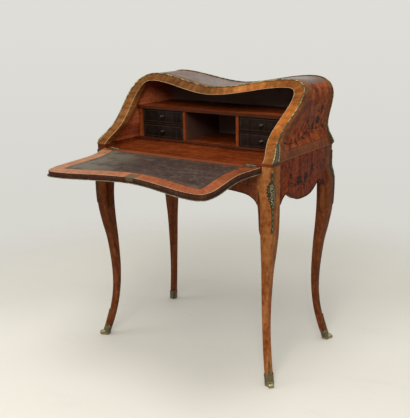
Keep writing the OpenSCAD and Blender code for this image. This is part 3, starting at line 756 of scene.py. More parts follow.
def leather_finish():
    """Leather painted a lighter grey at the left as a reflected sheen and brown at the right, with blots,
    rubbed places and scratches.
    """

    def draw(place):
        sheen_grey, brown, dark = (0.100, 0.083, 0.057), (0.038, 0.018, 0.012), (0.016, 0.010, 0.008)
        across = place.axis(0)
        drift = place.noise(5.0, 4.0, 0.6, 0.6)
        # Painted sheen: the left end shades into the lighter grey.
        side = across.spread(-0.26, 0.02)
        colour = (side * 0.7 + drift * 0.6 - 0.2).spread(0.1, 0.75).mix(sheen_grey, brown)
        blot = place.noise(16.0, 5.0, 0.65).spread(0.44, 0.66)
        rubbed = place.noise((9.0, 30.0, 9.0), 5.0, 0.7, 1.2).spread(0.52, 0.7)
        colour = (rubbed * 0.4).mix((blot * 0.7).mix(colour, dark), (0.15, 0.105, 0.08))
        scratch = place.noise((14.0, 260.0, 14.0), 2.0, 0.4, 3.0).spread(0.655, 0.69)
        more = place.noise((190.0, 18.0, 14.0), 2.0, 0.4, 2.0).spread(0.665, 0.7)
        marks = scratch.most(more) * place.noise(6.0, 2.0, 0.5).spread(0.45, 0.6)
        flecks = place.noise((70.0, 120.0, 70.0), 3.0, 0.6).spread(0.58, 0.66) * across.spread(-0.05, 0.12)
        marks = marks.most(flecks * 0.55)
        colour = (marks * 0.5).mix(colour, (0.24, 0.18, 0.13))
        fine = place.noise(900.0, 2.0, 0.5)
        height = place.cells(620.0).spread(0.0, 0.18) * 0.7 + fine * 0.3 - marks * 0.8
        roughness = blot.spread(0.0, 1.0, (0.44, 0.6)) + marks * 0.1
        return {"Base Color": colour, "Roughness": roughness, "Height": (height, 0.00016)}

    return new_finish("worn_leather", draw, {"Specular IOR Level": 0.16})


def rim_painted_light(place, colour):
    """Painted light on the rim: its right half is painted yellower as a highlight; over its top, painted
    shade darkens it, most at the right shoulder, and painted light makes the dip paler.
    """
    across, height = place.axis(0), place.axis(2)
    # Painted highlight: the right half is made yellower, less so towards its foot.
    side = across.spread(0.02, 0.3) * height.spread(0.725, 0.8, (0.2, 1.0))
    colour = side.mix(colour, colour.times((1.9, 1.6, 1.1)))
    # Painted shade over the top, deepest at the right shoulder, and painted light in the dip.
    top = height.spread(0.84, 0.88)
    dip = across.spread(-0.02, 0.05) * across.spread(0.13, 0.22, (1.0, 0.0))
    shoulder = across.spread(0.19, 0.26)
    return colour.scaled(1 - top * (0.28 + shoulder * 0.2 - dip * 0.7))


def fall_border_tint_and_painted_light(place, colour):
    """The fall's border is painted paler and pinker at its left end as a reflection, is redder at its right
    end, has painted shade over the back of its right end and is dark along the hinges.
    """
    # Painted reflection: the left end is made paler and pinker.
    left = place.axis(0).spread(-0.35, -0.12, (1.0, 0.0))
    painted_reflection_pink = colour.times((1.05, 1.3, 1.45))
    side = place.axis(0).spread(-0.16, 0.10)
    redder = colour.times((0.80, 0.56, 0.42))
    colour = side.mix(left.mix(colour, painted_reflection_pink), redder)
    # Painted shade: the back of the right end is darkened.
    painted_shade_by_hinge = place.axis(0).spread(0.2, 0.33) * place.axis(1).spread(-0.42, -0.3)
    at_hinge = place.axis(1).spread(-0.2235, -0.2215)
    return (at_hinge * 0.8).mix(colour.scaled(1 - painted_shade_by_hinge * 0.45), (0.135, 0.032, 0.010))


def nest_painted_shade(place, colour):
    """The partitions of the nest are painted darker behind their front edges, as shade inside the nest."""
    behind = place.axis(1).spread(NEST_FRONT * MM + 0.001, NEST_FRONT * MM + 0.012)
    return (behind * 0.8).mix(colour, (0.085, 0.055, 0.042))


def shelf_edge_painted_shade(place, colour):
    """The front edges of the nest's boards are painted darker than their upper faces, as shade."""
    edge = place.axis(1).below(NEST_FRONT * MM + 0.0012, 0.0004)
    return (edge * 0.7).mix(colour, (0.034, 0.016, 0.011))


def back_board_inner_tone(place, colour):
    """The inner face of the back board is given a flat greyish brown."""
    inside = place.axis(1).below((HALF_D - 6) * MM, 0.001)
    return (inside * 0.92).mix(colour, (0.185, 0.105, 0.078))


def stile_head(place, colour):
    """Darker red across the head of each stile, at the height of the bed."""
    height = place.axis(2)
    dark = height.between((BED + 2) * MM, (BELT + 5) * MM, 0.0006) * 0.75
    return dark.mix(colour, (0.085, 0.018, 0.007))


CASE = banded("figured_case_veneer", CASE_TONES, BAND_TONES)
APRON = banded("figured_apron_veneer", APRON_TONES, APRON_TONES)
FRIEZE = banded("figured_frieze_veneer", FRIEZE_TONES, FRIEZE_TONES)
FALL_BACK = banded("fall_outer_veneer", CASE_TONES, BAND_TONES)
RIM = veneer("cross_banded_rim", RIM_TONES, None, 0.3, 0.8, 1.3, after=rim_painted_light)
# A lit copy of the leg veneer, and a darker copy of it that is painted shade.
LEGS = veneer("mottled_leg_veneer", LEG_TONES, None, 0.34, 0.7, 1.6, after=stile_head, mottle=0.5)
SHADED_LEGS = veneer("browned_leg_veneer", SHADED_LEG_TONES, None, 0.36, 0.7, after=stile_head, mottle=0.4)
FALL_BORDER = veneer("cross_banded_fall_border", FALL_TONES, None, 0.3, 1.3, 0.7, after=fall_border_tint_and_painted_light)
INNER_X = veneer("inner_veneer_lengthwise", INNER_TONES, grain_x, 0.3)
NEST = veneer("nest_partition_veneer", NEST_TONES, grain_z, 0.34, after=nest_painted_shade)
SHELF = veneer("nest_board_veneer", INNER_TONES, grain_x, 0.34, after=shelf_edge_painted_shade)
INNER = veneer("inner_side_veneer", LINING_TONES, None, 0.34)
TOP = veneer("top_veneer", TOP_TONES, None, 0.26, polish=FRESH_POLISH)
DRAWERS = veneer("dark_drawer_veneer", DRAWER_TONES, grain_z, 0.3, 1.4, 1.4)
DRAWER_STRING = veneer("dull_drawer_string", DULL_TONES, grain_x)
DARK = veneer("dark_edging", DARK_TONES, grain_x, 0.38)
STRING = veneer("pale_stringing", STRING_TONES, grain_x, 0.36, 1.0, 0.4)
OAK = veneer("old_oak", OAK_TONES, grain_x, 0.66, 0.6, polish=OAK_PLAIN)
OAK_UP = veneer("old_oak_upright", OAK_TONES, grain_z, 0.66, 0.5, polish=OAK_PLAIN)
BACK = veneer("back_board_oak", OAK_TONES, grain_z, 0.66, 0.5, polish=OAK_PLAIN, after=back_board_inner_tone)
RISER = veneer("dark_riser_veneer", RISER_TONES, grain_x, 0.36)
FLOWERS = veneer("inlaid_blossom_wood", FLOWER_TONES, grain_z, 0.34)
LEAVES = veneer("inlaid_leaf_wood", LEAF_TONES, grain_z, 0.34)
LEATHER = leather_finish()

# Metals: colours where bright, dull and dirty, then how far the bright is worn in and how rough it is
GILT = (0.52, 0.42, 0.19)
BRONZE = metal("dulled_gilt_bronze", GILT, (0.155, 0.125, 0.055), (0.035, 0.033, 0.018))
BRASS = metal("old_brass", (0.30, 0.22, 0.115), (0.15, 0.105, 0.055), (0.055, 0.04, 0.025), 0.6)
KNOBS = metal("greyed_brass_knobs", (0.13, 0.112, 0.09), (0.038, 0.030, 0.024), (0.014, 0.011, 0.009), 0.5)
FILLET = metal("darkened_brass_fillet", GILT, (0.085, 0.070, 0.036), (0.024, 0.021, 0.013), 0.85)
CAST = metal("cast_gilt_bronze", (0.72, 0.60, 0.31), (0.058, 0.048, 0.020), (0.022, 0.020, 0.010), 0.95,
             relief=True)
SHOES = metal("gilt_bronze_shoes", (0.60, 0.51, 0.29), (0.135, 0.115, 0.060), (0.028, 0.027, 0.015), 0.9,
              relief=True)
MOULDING = metal("blackened_moulding", (0.13, 0.105, 0.065), (0.045, 0.037, 0.026), (0.016, 0.014, 0.011),
                 0.6)
BRIGHT_LINE = metal("rubbed_gilt_line", (0.66, 0.57, 0.36), (0.34, 0.29, 0.17), (0.09, 0.08, 0.04), 0.8, 0.4)
TOOLING = metal("worn_gilt_tooling", (0.30, 0.20, 0.09), (0.12, 0.085, 0.05), (0.05, 0.035, 0.025), 0.7, 0.5)


# Legs
def full_ring(z):
    """Places round the leg, as distances from its outer edge."""
    arc, flat = LEG_R * math.pi / 4, leg_at(z)[1] - 2 * LEG_R
    stops = [arc * i / 3 for i in range(4)]
    stops += [arc + flat * i / 4 for i in range(1, 5)]
    stops += [arc + flat + 2 * arc * i / 6 for i in range(1, 7)]
    stops += [3 * arc + flat + flat * i / 4 for i in range(1, 5)]
    stops += [3 * arc + 2 * flat + arc * i / 3 for i in range(1, 4)]
    return stops + [-s for s in reversed(stops[1:-1])]


def leg(corner):
    """A leg up to the bed, and its stile above, which is cut back to the inner edge of the rim."""
    heights = [SOLE + 0.2] + [row.x for row in LEG if SOLE + 3 < row.x < BED_UNDER] + [BED_UNDER]
    foot, head, grains = [], [], []
    sx, sy = CORNERS[corner]
    seed = 300 * (sx + 2 * sy)
    uncut = -HALF_W
    for rings, levels, inner in ((foot, heights, uncut), (head, (BED_UNDER, BELT), -RIM_W)):
        for z in levels:
            stops = full_ring(z)
            ring = [round_leg(z, q) for q in stops]
            rings.append([at_corner(Vector((max(p.x, inner), p.y, p.z)), corner) for p in ring])
            grains += [Vector((z, q + 0.12 * z, seed)) for q in stops]
    shape = joined(skin(foot), skin(head))
    # Painted light: the front-right leg takes the lit copy of the veneer, the other three legs the darker
    # copy as painted shade.
    finish = LEGS if corner == "front_right" else SHADED_LEGS
    piece("leg_veneered_" + corner, shape, "case", "leg_veneer", finish, ["leg_" + corner], grain=grains)


# Bronze mounts on the legs
def mount_half_width(t):
    """Half width of a knee mount at t of its length down from the top, as a share of its width."""
    stops = [(0, 0.08), (0.015, 0.12), (0.16, 0.12), (0.2, 0.26), (0.26, 0.42), (0.36, 0.45), (0.44, 0.36)]
    stops += [(0.52, 0.2), (0.6, 0.13), (0.8, 0.08), (0.88, 0.07), (0.93, 0.14), (0.97, 0.12), (1, 0.02)]
    for (a, p), (b, q) in zip(stops, stops[1:]):
        if t <= b:
            return lerp(p, q, smooth((t - a) / (b - a)))
    return stops[-1][1]


# Petals of a knee mount: place along and across it, reach, how many, and how far they are turned
PETALS = [
    (46, 2, 10, 5, 0.2), (58, -8, 9, 5, 1.1), (58, 8, 10, 4, 0.6), (70, 0, 10, 6, 0.0), (80, -8, 9, 5, 0.5),
    (82, 7, 9, 5, 1.5), (93, 0, 9, 4, 0.3),
]


def wave(share):
    """Runs from 1 to 0 and back while share goes up by 1."""
    return 0.5 + 0.5 * math.cos(2 * math.pi * share)


def hump(x, centre, width):
    """A soft hump, 1 high at its centre."""
    return math.exp(-((x - centre) / width) ** 2)


def knee_relief(t, j, half):
    """Height of the knee mount's relief and its brightness, which is rubbed wear with painted shine on the
    husks, petals and ribs, at t of its length, j from -1 to 1 across it.
    """
    crown = 1 - abs(j) ** 2.4
    if t < 0.2:
        husk = wave(t * 9 - 0.5 * abs(j))
        return 0.8 + 1.0 * crown + 0.8 * husk * crown, 0.1 + 0.55 * husk * crown
    if t < 0.54:
        ridge = 0.0
        for along, across, reach, count, turn in PETALS:
            a, b = t * MOUNT_L - along, j * half - across
            far = math.hypot(a, b) / reach
            if far < 1:
                petal = 0.5 + 0.5 * math.cos(count * (math.atan2(b, a) + turn) + 1.6 * far)
                ridge = max(ridge, petal ** 1.5 * min(1.0, 4 * far) * (1 - far ** 3))
        swell = math.sin(math.pi * (t - 0.2) / 0.34)
        return 0.8 + (1.0 + 0.5 * swell) * crown + 1.5 * ridge, 0.05 + 1.05 * ridge * crown ** 0.3
    fade = 1 - (t - 0.54) / 0.46
    vein = wave(j)
    ribs = wave(t * 11 + 0.9 * abs(j))
    lift = 0.8 + 1.0 * crown + (0.6 * vein + 0.5 * ribs) * fade * crown
    return lift, 0.1 + (0.35 + 0.4 * ribs) * vein * crown


def knee_mount(corner):
    """A strip, a cluster of leaves and flowers and a tail, which wrap round the outer edge of the leg."""

    def spot(t, share):
        k = 2 * share - 1
        z = BELT - MOUNT_DROP - MOUNT_L * t
        lobed = 1 + 0.16 * math.cos(2 * math.pi * t * 20 + 0.6) if 0.22 < t < 0.58 else 1.0
        half = mount_half_width(t) * MOUNT_W * lobed
        edge = min(1.0, (1 - abs(k)) * 5) ** 0.5
        ends = min(1.0, min(t, 1 - t) * 60) ** 0.5
        # shine is painted shine and rubbed wear: the cast finish brightens where it is high.
        relief, shine = knee_relief(t, k, half)
        over = on_leg(corner, z, half * k, 0.4 + relief * edge * ends)
        return over, on_leg(corner, z, half * k, 0.15), shine * edge

    shape, wear_and_painted_shine = relief_shell(150, 24, spot)
    name = "knee_mount_cast_" + corner
    piece(name, shape, "case", "bronze", CAST, ["knee_mount_" + corner], sharp=50, relief=wear_and_painted_shine)


def shoe_top(share):
    """Height of the shoe's upper edge, share from 0 at the outer edge of the leg to 1 at the inner edge."""
    tongue = max(0.0, 1 - share / 0.17)
    edge = SHOE_LOW + (SHOE_H - SHOE_LOW) * tongue ** 1.7
    return edge + 7 * hump(share, 0.5, 0.09) + 9 * hump(share, 1.0, 0.1)


def shoe(corner):
    """A fluted shoe with a tongue up the outer edge of the leg, and a curled toe."""

    def spot(t, turned):
        turn = 2 * turned - 1
        bend = math.copysign(abs(turn) ** 1.5, turn)
        share = abs(bend)
        z = lerp(0.6, shoe_top(share), t)
        q = bend * half_round(z)
        rim = hump(t, 0.95, 0.035)
        foot = hump(z, 0, 7.0)
        flute = wave(share * 13 + 0.25 * t)
        vein = hump(share, 0, 0.012)
        lift = 1.3 + 0.9 * rim + 1.1 * foot + 0.7 * flute * (1 - foot) + 1.1 * vein
        lift *= min(1.0, (1 - t) * 30) ** 0.5
        return on_leg(corner, z, q, 0.3 + lift), on_leg(corner, max(z, 1.0), q, 0.1), lift / 3.4

    shape, wear_and_painted_shine = relief_shell(44, 96, spot, True)
    curl = toe(corner)
    wear_and_painted_shine += [Vector((0.8, 0, 0))] * len(curl[0])
    shape = joined(shape, curl)
    piece("shoe_cast_" + corner, shape, "case", "bronze", SHOES, ["shoe_" + corner], sharp=50, relief=wear_and_painted_shine)


def diagonal(corner, out, across, z):
    """A point at a corner, out along its diagonal and across it."""
    r = math.sqrt(0.5)
    return at_corner(Vector(((out - across) * r, (out + across) * r, z)), corner)


def toe(corner):
    """The curled toe: a fluted roll that runs back into the foot, with a volute on each flank."""
    heel_x, heel_r = TOE_OUT - TOE_L, TOE_R + 3
    lean = math.asin((heel_r - TOE_R) / TOE_L)
    drawing = []
    for i in range(13):
        a = lerp(-math.pi / 2, math.pi / 2 - lean, i / 12)
        drawing.append((TOE_OUT + TOE_R * math.cos(a), TOE_R + TOE_R * math.sin(a), 1.0))
    last_x, last_z, fluted = drawing[-1]
    for i in range(1, 7):
        t = i / 7
        sag = 1.6 * math.sin(math.pi * t)
        drawing.append((lerp(last_x, heel_x, t), lerp(last_z, 2 * heel_r, t) - sag, 1.0))
    for i in range(9):
        a = lerp(math.pi / 2, 1.5 * math.pi, i / 8)
        drawing.append((heel_x + heel_r * math.cos(a), heel_r + heel_r * math.sin(a), 0.0))
    middle_x = TOE_OUT - 6
    rings = []
    for j in range(21):
        k = 2 * j / 20 - 1
        round_end = math.sqrt(max(0.0, 1 - abs(k) ** 5))
        ring = []
        for x, z, fluted in drawing:
            swell = 1 - 0.05 * fluted * (0.5 + 0.5 * math.cos(3 * math.pi * k))
            grown = swell * lerp(0.72, 1.0, round_end)
            out = middle_x + (x - middle_x) * grown
            ring.append(diagonal(corner, out, k * TOE_W / 2, max(0.0, TOE_R + (z - TOE_R) * grown)))
        rings.append(ring)
    parts = [skin(rings)]
    up = diagonal(corner, 0, 1, 0) - diagonal(corner, 0, 0, 0)
    count = 34
    for flank in (-1, 1):
        path = []
        for i in range(count):
            a = -0.6 + i * 0.36
            r = TOE_R * 0.86 * (1 - i / 36) + 0.4
            out, z = TOE_OUT + r * math.cos(a), TOE_R + r * math.sin(a)
            path.append(diagonal(corner, out, flank * (TOE_W / 2 - 0.2), z))
        parts.append(tube(path, [0.95 * (1 - 0.45 * i / count) for i in range(count)], 6, 1.0, up))
    return joined(*parts)


# Friezes and aprons
def lower_edge(points, half):
    """A lower edge from its middle to its right end, then mirrored."""
    points = [Vector(p) for p in points]
    right = smoothed(points, 14) + [Vector((half, points[-2].y))]
    return [Vector((-p.x, p.y)) for p in reversed(right[1:])] + right


def front_frieze_edge():
    low_z, half = FRIEZE_LOW, FRIEZE_HALF
    return lower_edge([
        (-60, low_z), (0, low_z - 6), (60, low_z + 2), (0.5 * half, low_z + 6), (half - 50, low_z),
        (half - 16, low_z - 12), (half, low_z - 30), (half + 10, low_z - 60),
    ], half)


def apron_edge():
    half = APRON_HALF
    return lower_edge([
        (-0.3 * half, LOBE_LOW + 4), (0, LOBE_LOW), (0.3 * half, LOBE_LOW + 4),
        (0.5 * half, 0.5 * (LOBE_LOW + ARCH_LOW)), (0.69 * half, ARCH_LOW), (0.86 * half, ARCH_LOW - 6),
        (half, ARCH_LOW - 26), (1.1 * half, ARCH_LOW - 50),
    ], half)


def rail_shape(edge, top, place):
    """A shaped board: columns between a lower edge and a level top, with eased front edges."""
    front, back = [], []
    shares = [0.0, 0.012, 0.03, 0.12, 0.3, 0.55, 0.8, 0.95, 0.99, 1.0]
    sinks = [1.2, 0.4, 0.0, 0.0, 0.0, 0.0, 0.0, 0.0, 0.3, 0.9]
    for share, sink in zip(shares, sinks):
        front.append([place(p.x, lerp(p.y, top, share), sink) for p in edge])
        back.append([place(p.x, lerp(p.y, top, share), FRIEZE_T) for p in edge])
    return shell(front, back)


def rail_border(edge, a, z, half):
    """Distances of a place on a shaped rail from its lower edge and from its ends."""
    near = min(edge, key=lambda p: abs(p.x - a))
    return Vector((max(z - near.y, 0.0), half - abs(a), half - abs(a)))


def brackets(name, place, half, low_z):
    """The ends of a shaped rail, where it runs down the inner edges of the legs."""
    gap = STILE_W - (KNEE_W - KNEE_OUT)
    top = BELT - 0.23 * KNEE_L
    drawing = [
        (-2, top), (gap, top), (gap, low_z - 102), (9, low_z - 92), (5.5, low_z - 77), (4.2, low_z - 52),
        (2.9, low_z - 28), (1.2, low_z - 12), (-0.5, low_z), (-2, low_z + 2),
    ]
    parts = []
    for s in (-1, 1):
        parts.append(prism(drawing, lambda a, z, t: place(s * (half + a), z, t), 0.5, FRIEZE_T - 1))
    # The brackets take the darker copy of the leg veneer, painted shade.
    piece(name, joined(*parts), "case", "leg_veneer", SHADED_LEGS, bevel=0.6,
          grain=lambda p: Vector((p.z, p.x + p.y, p.y)))


def rail_edging(name, edge, place, sink, radius, up):
    """A dark bead along the lower edge of a shaped rail."""
    bead = [place(p.x, p.y + 0.6, sink) for p in edge]
    piece(name, tube(bead, radius, 8, 1.0, up), "case", "case_veneer", DARK)


def front_frieze():
    edge = front_frieze_edge()

    def place(a, z, sink):
        return Vector((a, -HALF_D + FRIEZE_IN + sink, z))

    piece("front_frieze_veneered", rail_shape(edge, BED_UNDER - 0.2, place), "case", "case_veneer", FRIEZE,
          ["front_frieze"], grain=lambda p: Vector((p.z, p.x, p.y)),
          border=lambda p: rail_border(edge, p.x, p.z, FRIEZE_HALF))
    rail_edging("front_frieze_edging", edge, place, 0.4, 1.5, Vector((0, 1, 0)))
    brackets("front_frieze_brackets", place, FRIEZE_HALF, FRIEZE_LOW - 30)


def side_apron(side):
    """An apron with a middle lobe between two arches, without banding: it counts as far from all edges."""
    edge = apron_edge()
    far_in = Vector((30, 30, 30))

    def place(a, z, sink):
        return Vector((SIDES[side] * (APRON_X - sink), a, z))

    name = "side_apron_" + side
    piece(name + "_veneered", rail_shape(edge, BELT, place), "case", "case_veneer", APRON, [name],
          grain=lambda p: Vector((p.z, p.y, p.x)), border=lambda p: far_in)
    rail_edging(name + "_edging", edge, place, 0.3, 1.6, Vector((1, 0, 0)))
    brackets(name + "_brackets", place, APRON_HALF, ARCH_LOW - 26)


# Upper case. The side boards and the top board meet at the middle of the shoulder.
def case_board(steps, depths, columns, behind, back, sx, grain, border=None):
    """A board along the outline, from behind the rim to its back edge, and what its finish needs."""
    grids, grains, borders = [], [], []
    for e in depths:
        grid = []
        for u, run in steps:
            p = inset(u, e)
            y0 = slope_y(p.y, behind)
            row = [Vector((sx * p.x, lerp(y0, back, j / columns), BELT + p.y)) for j in range(columns + 1)]
            grains += [grain(v, run, e) for v in row]
            if border:
                borders += [border(v, run, y0) for v in row]
            grid.append(row)
        grids.append(grid)
    return shell(*grids), grains, borders


def side_board(side):
    """A side board from the belt to the middle of the shoulder, and the veneer that lines its inner face."""
    sx = SIDES[side]
    name = "upper_side_" + side
    under_rim = 12

    def border(v, run, y0):
        return Vector((run, HALF_D - v.y, (v.y - y0) * math.sin(SLOPE) + under_rim))

    steps = spaced(0, SHOULDER, 3.5)
    shape, grains, borders = case_board(steps, (0.0, BOARD_T), 34, RIM_T, HALF_D, sx,
                                        lambda v, run, e: Vector((run, v.y, e + 500 * sx)), border)
    piece(name + "_veneered", shape, "case", "case_veneer", CASE, [name], grain=grains, border=borders)
    steps = spaced(0, SHOULDER, 7)
    shape, grains, _ = case_board(steps, (BOARD_T + 0.15, BOARD_T - 2), 12, RIM_T + 0.5, HALF_D - 12.2, sx,
                                  lambda v, run, e: Vector((v.y, v.z, 40 * e)))
    piece(name + "_lining", shape, "case", "inner_veneer", INNER, grain=grains)


def top_board():
    steps = spaced(SHOULDER, ROUND - SHOULDER, 6)
    shape, grains, _ = case_board(steps, (0.0, BOARD_T), 20, RIM_T, HALF_D, 1,
                                  lambda v, run, e: Vector((run, v.y, e)))
    piece("top_board_veneered", shape, "case", "case_veneer", TOP, ["top_board"], grain=grains)


def rim():
    """The cross-banded frame round the opening, with eased edges and a thin string along its inner edge."""
    section = [
        (0.0, 0.6), (0.5, 0.1), (1.5, 0.0), (9.0, -0.3), (17.5, -0.5), (26.0, -0.3), (33.2, 0.0), (34.4, 0.3),
        (34.9, 1.2), (35.0, 6.0), (35.0, 20.0), (17.5, 20.0), (0.0, 20.0), (0.0, 8.0),
    ]
    rings, grains = [], []
    for u, run in spaced(0, ROUND, 5, RIM_W / 2, STRETCH):
        ring = []
        for e, deep in section:
            p = inset(u, e, STRETCH)
            front = on_slope(p.x, p.y)
            front.y += deep / math.sin(SLOPE)
            ring.append(front)
            grains.append(Vector((e + 0.6 * deep, run, 0.4 * deep)))
        rings.append(ring)
    piece("front_rim_cross_banded", skin(rings), "case", "banding", RIM, ["front_rim"], grain=grains)
    path = []
    for u, run in spaced(0.02, ROUND - 0.02, 5, RIM_W, STRETCH):
        p = inset(u, RIM_W - 1.8, STRETCH)
        path.append(on_slope(p.x, p.y, -0.1))
    up = on_slope(0, 0, -1) - on_slope(0, 0)
    piece("front_rim_inner_string", tube(path, 0.8, 6, 0.5, up), "case", "banding", STRING)


def rim_fillet():
    """The brass fillet on the rim's outer edge, with a row of small beads along it."""
    pitch = 5.2
    rings = []
    for u, run in spaced(0, ROUND, pitch / 5, 0, STRETCH):
        bead = abs(math.sin(math.pi * run / pitch)) ** 0.7
        ring = []
        for a in turns(10):
            p = inset(u, 0.9 + 2.3 * math.cos(a) * lerp(0.92, 1.0, bead), STRETCH)
            out = 2.9 * (0.5 + 0.5 * math.sin(a)) * (lerp(0.72, 1.0, bead) if math.sin(a) > 0 else 1.0)
            ring.append(on_slope(p.x, p.y, -out))
        rings.append(ring)
    piece("rim_fillet_beaded", skin(rings), "case", "brass", FILLET, ["rim_fillet"], sharp=60)


def back_fillet():
    """The fillet round the back edge, gently waved."""
    rings = []
    for u, run in spaced(0, ROUND, 2.5):
        bead = 0.25 * math.cos(2 * math.pi * run / 7.5)
        ring = []
        for a in turns(12):
            p = inset(u, 0.2 - (1.35 + 0.2 * bead) * (1 + math.sin(a)))
            ring.append(Vector((p.x, HALF_D - 2.6 + 2.5 * math.cos(a), BELT + p.y)))
        rings.append(ring)
    piece("back_fillet_moulded", skin(rings), "case", "brass", FILLET, ["back_fillet"], sharp=60)


def corner_spot(end, sx, t, k):
    """A place on a corner mount, t of its length up from the belt and k of its width in from the edge, with
    its brightness: a painted highlight along the middle of the mount.
    """
    deep, reach, top = 10.2, 12.6, 0.79
    swells = [(0, 0.3), (0.12, 1), (0.4, 0.62), (0.7, 0.4), (1, 0)]
    width = deep * (0.93 + 0.07 * math.cos(2 * math.pi * t * 7)) * min(1.0, (1 - t) * 4) ** 0.6
    a, b = next((a, b) for a, b in zip(swells, swells[1:]) if t <= b[0])
    swell = 2 + (reach - 3.5) * lerp(a[1], b[1], (t - a[0]) / (b[0] - a[0]))
    across = math.sin(math.pi * (0.06 + 0.88 * k)) ** 0.6
    lobes = wave(t * 7 + 1.0 * abs(k - 0.42))
    edge = min(1.0, 8 * min(k, 1 - k, t, 1 - t)) ** 0.5
    lift = (swell * across + 0.5 * lobes + 0.6 * hump(k, 0.42, 0.05)) * edge + 0.3
    found = []
    for p in (inset(top * t, -lift), inset(top * t, -0.1)):
        y = slope_y(p.y, 0.8 + width * k) if end == "front" else HALF_D - 5.4 - width * k
        found.append(Vector((sx * p.x, y, BELT + p.y)))
    return *found, hump(k, 0.5, 0.2) * (0.75 + 0.35 * lobes) * edge


def corner_mounts(end):
    """Leaf scrolls at the foot of the upper case, which swell out just above the belt."""
    parts, wear_and_painted_shine = [], []
    for sx in SIDES.values():
        shape, relief = relief_shell(60, 22, lambda t, k: corner_spot(end, sx, t, k))
        parts.append(shape)
        wear_and_painted_shine += relief
    name = "corner_mounts_cast_" + end
    piece(name, joined(*parts), "case", "bronze", CAST, ["corner_mounts_" + end], sharp=50, relief=wear_and_painted_shine)


# Inlaid sprigs: thin petals and leaves let into a surface
def let_in(surface, rows):
    """A thin sheet let into a surface. rows hold places on it and how far they stand proud."""
    front = [[surface(a, b, lift) for a, b, lift in row] for row in rows]
    back = [[surface(a, b, -0.5) for a, b, lift in row] for row in rows]
    return shell(front, back)


def leaf_plate(surface, a, b, length, width, angle, bend=0.0):
    """A pointed leaf that starts at a, b and runs along angle."""
    shares = (-1, -0.5, 0, 0.5, 1)
    rows = []
    for i in range(11):
        t = i / 10
        half = width / 2 * math.sin(math.pi * t) ** 0.75 * (1 - 0.25 * t)
        turn = angle + bend * t
        run = length * t
        x = a + run * math.cos(angle + bend * t / 2)
        y = b + run * math.sin(angle + bend * t / 2)
        c, s = math.cos(turn), math.sin(turn)
        rows.append([(x - half * k * s, y + half * k * c, 0.22 - 0.07 * abs(k)) for k in shares])
    return let_in(surface, rows)


def stem_plate(surface, start, bulge, end):
    """A stem that bends from start to end and gets thinner."""
    count = 12
    points = []
    for i in range(count + 1):
        t = i / count
        axes = zip(start, bulge, end)
        points.append([(1 - t) ** 2 * a + 2 * t * (1 - t) * b + t * t * c for a, b, c in axes])
    rows = []
    for i, (a, b) in enumerate(points):
        c, d = points[min(i + 1, count)]
        e, f = points[max(i - 1, 0)]
        way = Vector((c - e, d - f)).normalized()
        half = 1.1 * (1 - 0.5 * i / len(points))
        rows.append([(a - way.y * half * k, b + way.x * half * k, 0.16) for k in (-1, 0, 1)])
    return let_in(surface, rows)


def blossom(surface, a, b, size, petals, turn):
    """A ring of petals round a place."""
    parts = []
    for i in range(petals):
        angle = turn + 2 * math.pi * i / petals
        x, y = a + 1.2 * math.cos(angle), b + 1.2 * math.sin(angle)
        parts.append(leaf_plate(surface, x, y, size, 0.72 * size, angle))
    return parts


def sprig(name, surface, stems, flowers, leaves):
    """Lays a sprig into a surface: stems and petals of dark wood, leaves and hearts of red wood."""
    red = []
    dark = [stem_plate(surface, *stem) for stem in stems]
    for a, b, size, petals, turn in flowers:
        dark += blossom(surface, a, b, size, petals, turn)
        red += blossom(surface, a, b, size * 0.42, petals, turn + 0.5)
    for a, b, length, width, angle in leaves:
        red.append(leaf_plate(surface, a, b, length, width, math.radians(angle), 0.35))
    piece(name + "_blossoms", joined(*dark), "case", "case_veneer", FLOWERS, sharp=60)
    piece(name + "_leaves", joined(*red), "case", "case_veneer", LEAVES, sharp=60)


def side_surface(sx):
    """A rule that finds places on the outer face of a side board from their Y, height and lift."""
    samples = [inset(2.6 * i / 200, 0) for i in range(201)]

    def surface(a, b, lift):
        height = b - BELT
        for p, q in zip(samples, samples[1:]):
            if q.y >= height:
                t = (height - p.y) / (q.y - p.y)
                return Vector((sx * (lerp(p.x, q.x, t) + lift), a, b))
        return Vector((sx * (samples[-1].x + lift), a, b))

    return surface


# Stems: start, bulge and end. Flowers: place, size, petals and turn. Leaves: place, length, width and angle.
SIDE_STEMS = [
    ((-96, 752), (-30, 742), (28, 764)), ((28, 764), (74, 782), (118, 794)),
    ((60, 776), (112, 768), (160, 776)), ((92, 786), (118, 812), (132, 838)),
    ((-40, 749), (-20, 766), (4, 776)), ((20, 762), (26, 784), (52, 800)),
]
SIDE_FLOWERS = [
    (122, 797, 14, 6, 0.2), (88, 781, 10, 5, 0.5), (136, 836, 11, 5, 0.9), (163, 772, 9, 5, 0.1),
    (52, 802, 8, 5, 1.1),
]
SIDE_LEAVES = [
    (-90, 752, 22, 9, 160), (-70, 750, 20, 8, 35), (-44, 750, 21, 9, -38), (-18, 754, 20, 9, 42),
    (4, 758, 24, 11, -25), (6, 777, 15, 8, 60), (30, 765, 22, 10, 8), (40, 770, 20, 9, -30),
    (66, 780, 18, 8, 118), (100, 800, 20, 9, 128), (108, 778, 18, 8, -48), (146, 776, 17, 8, 58),
    (142, 792, 19, 9, 12), (132, 816, 18, 8, 26), (118, 826, 18, 8, 156), (138, 848, 16, 7, 62),
    (166, 764, 15, 7, -40), (150, 826, 14, 6, 30),
]
APRON_STEMS = [
    ((-84, 632), (-50, 612), (-20, 622)), ((-20, 622), (20, 604), (62, 640)),
    ((0, 616), (10, 634), (22, 646)), ((-40, 618), (-60, 640), (-86, 654)),
]
APRON_FLOWERS = [(-88, 653, 10, 5, 0.2), (-31, 631, 16, 6, 0.4), (14, 634, 16, 5, 0.9), (58, 655, 12, 5, 0.3)]
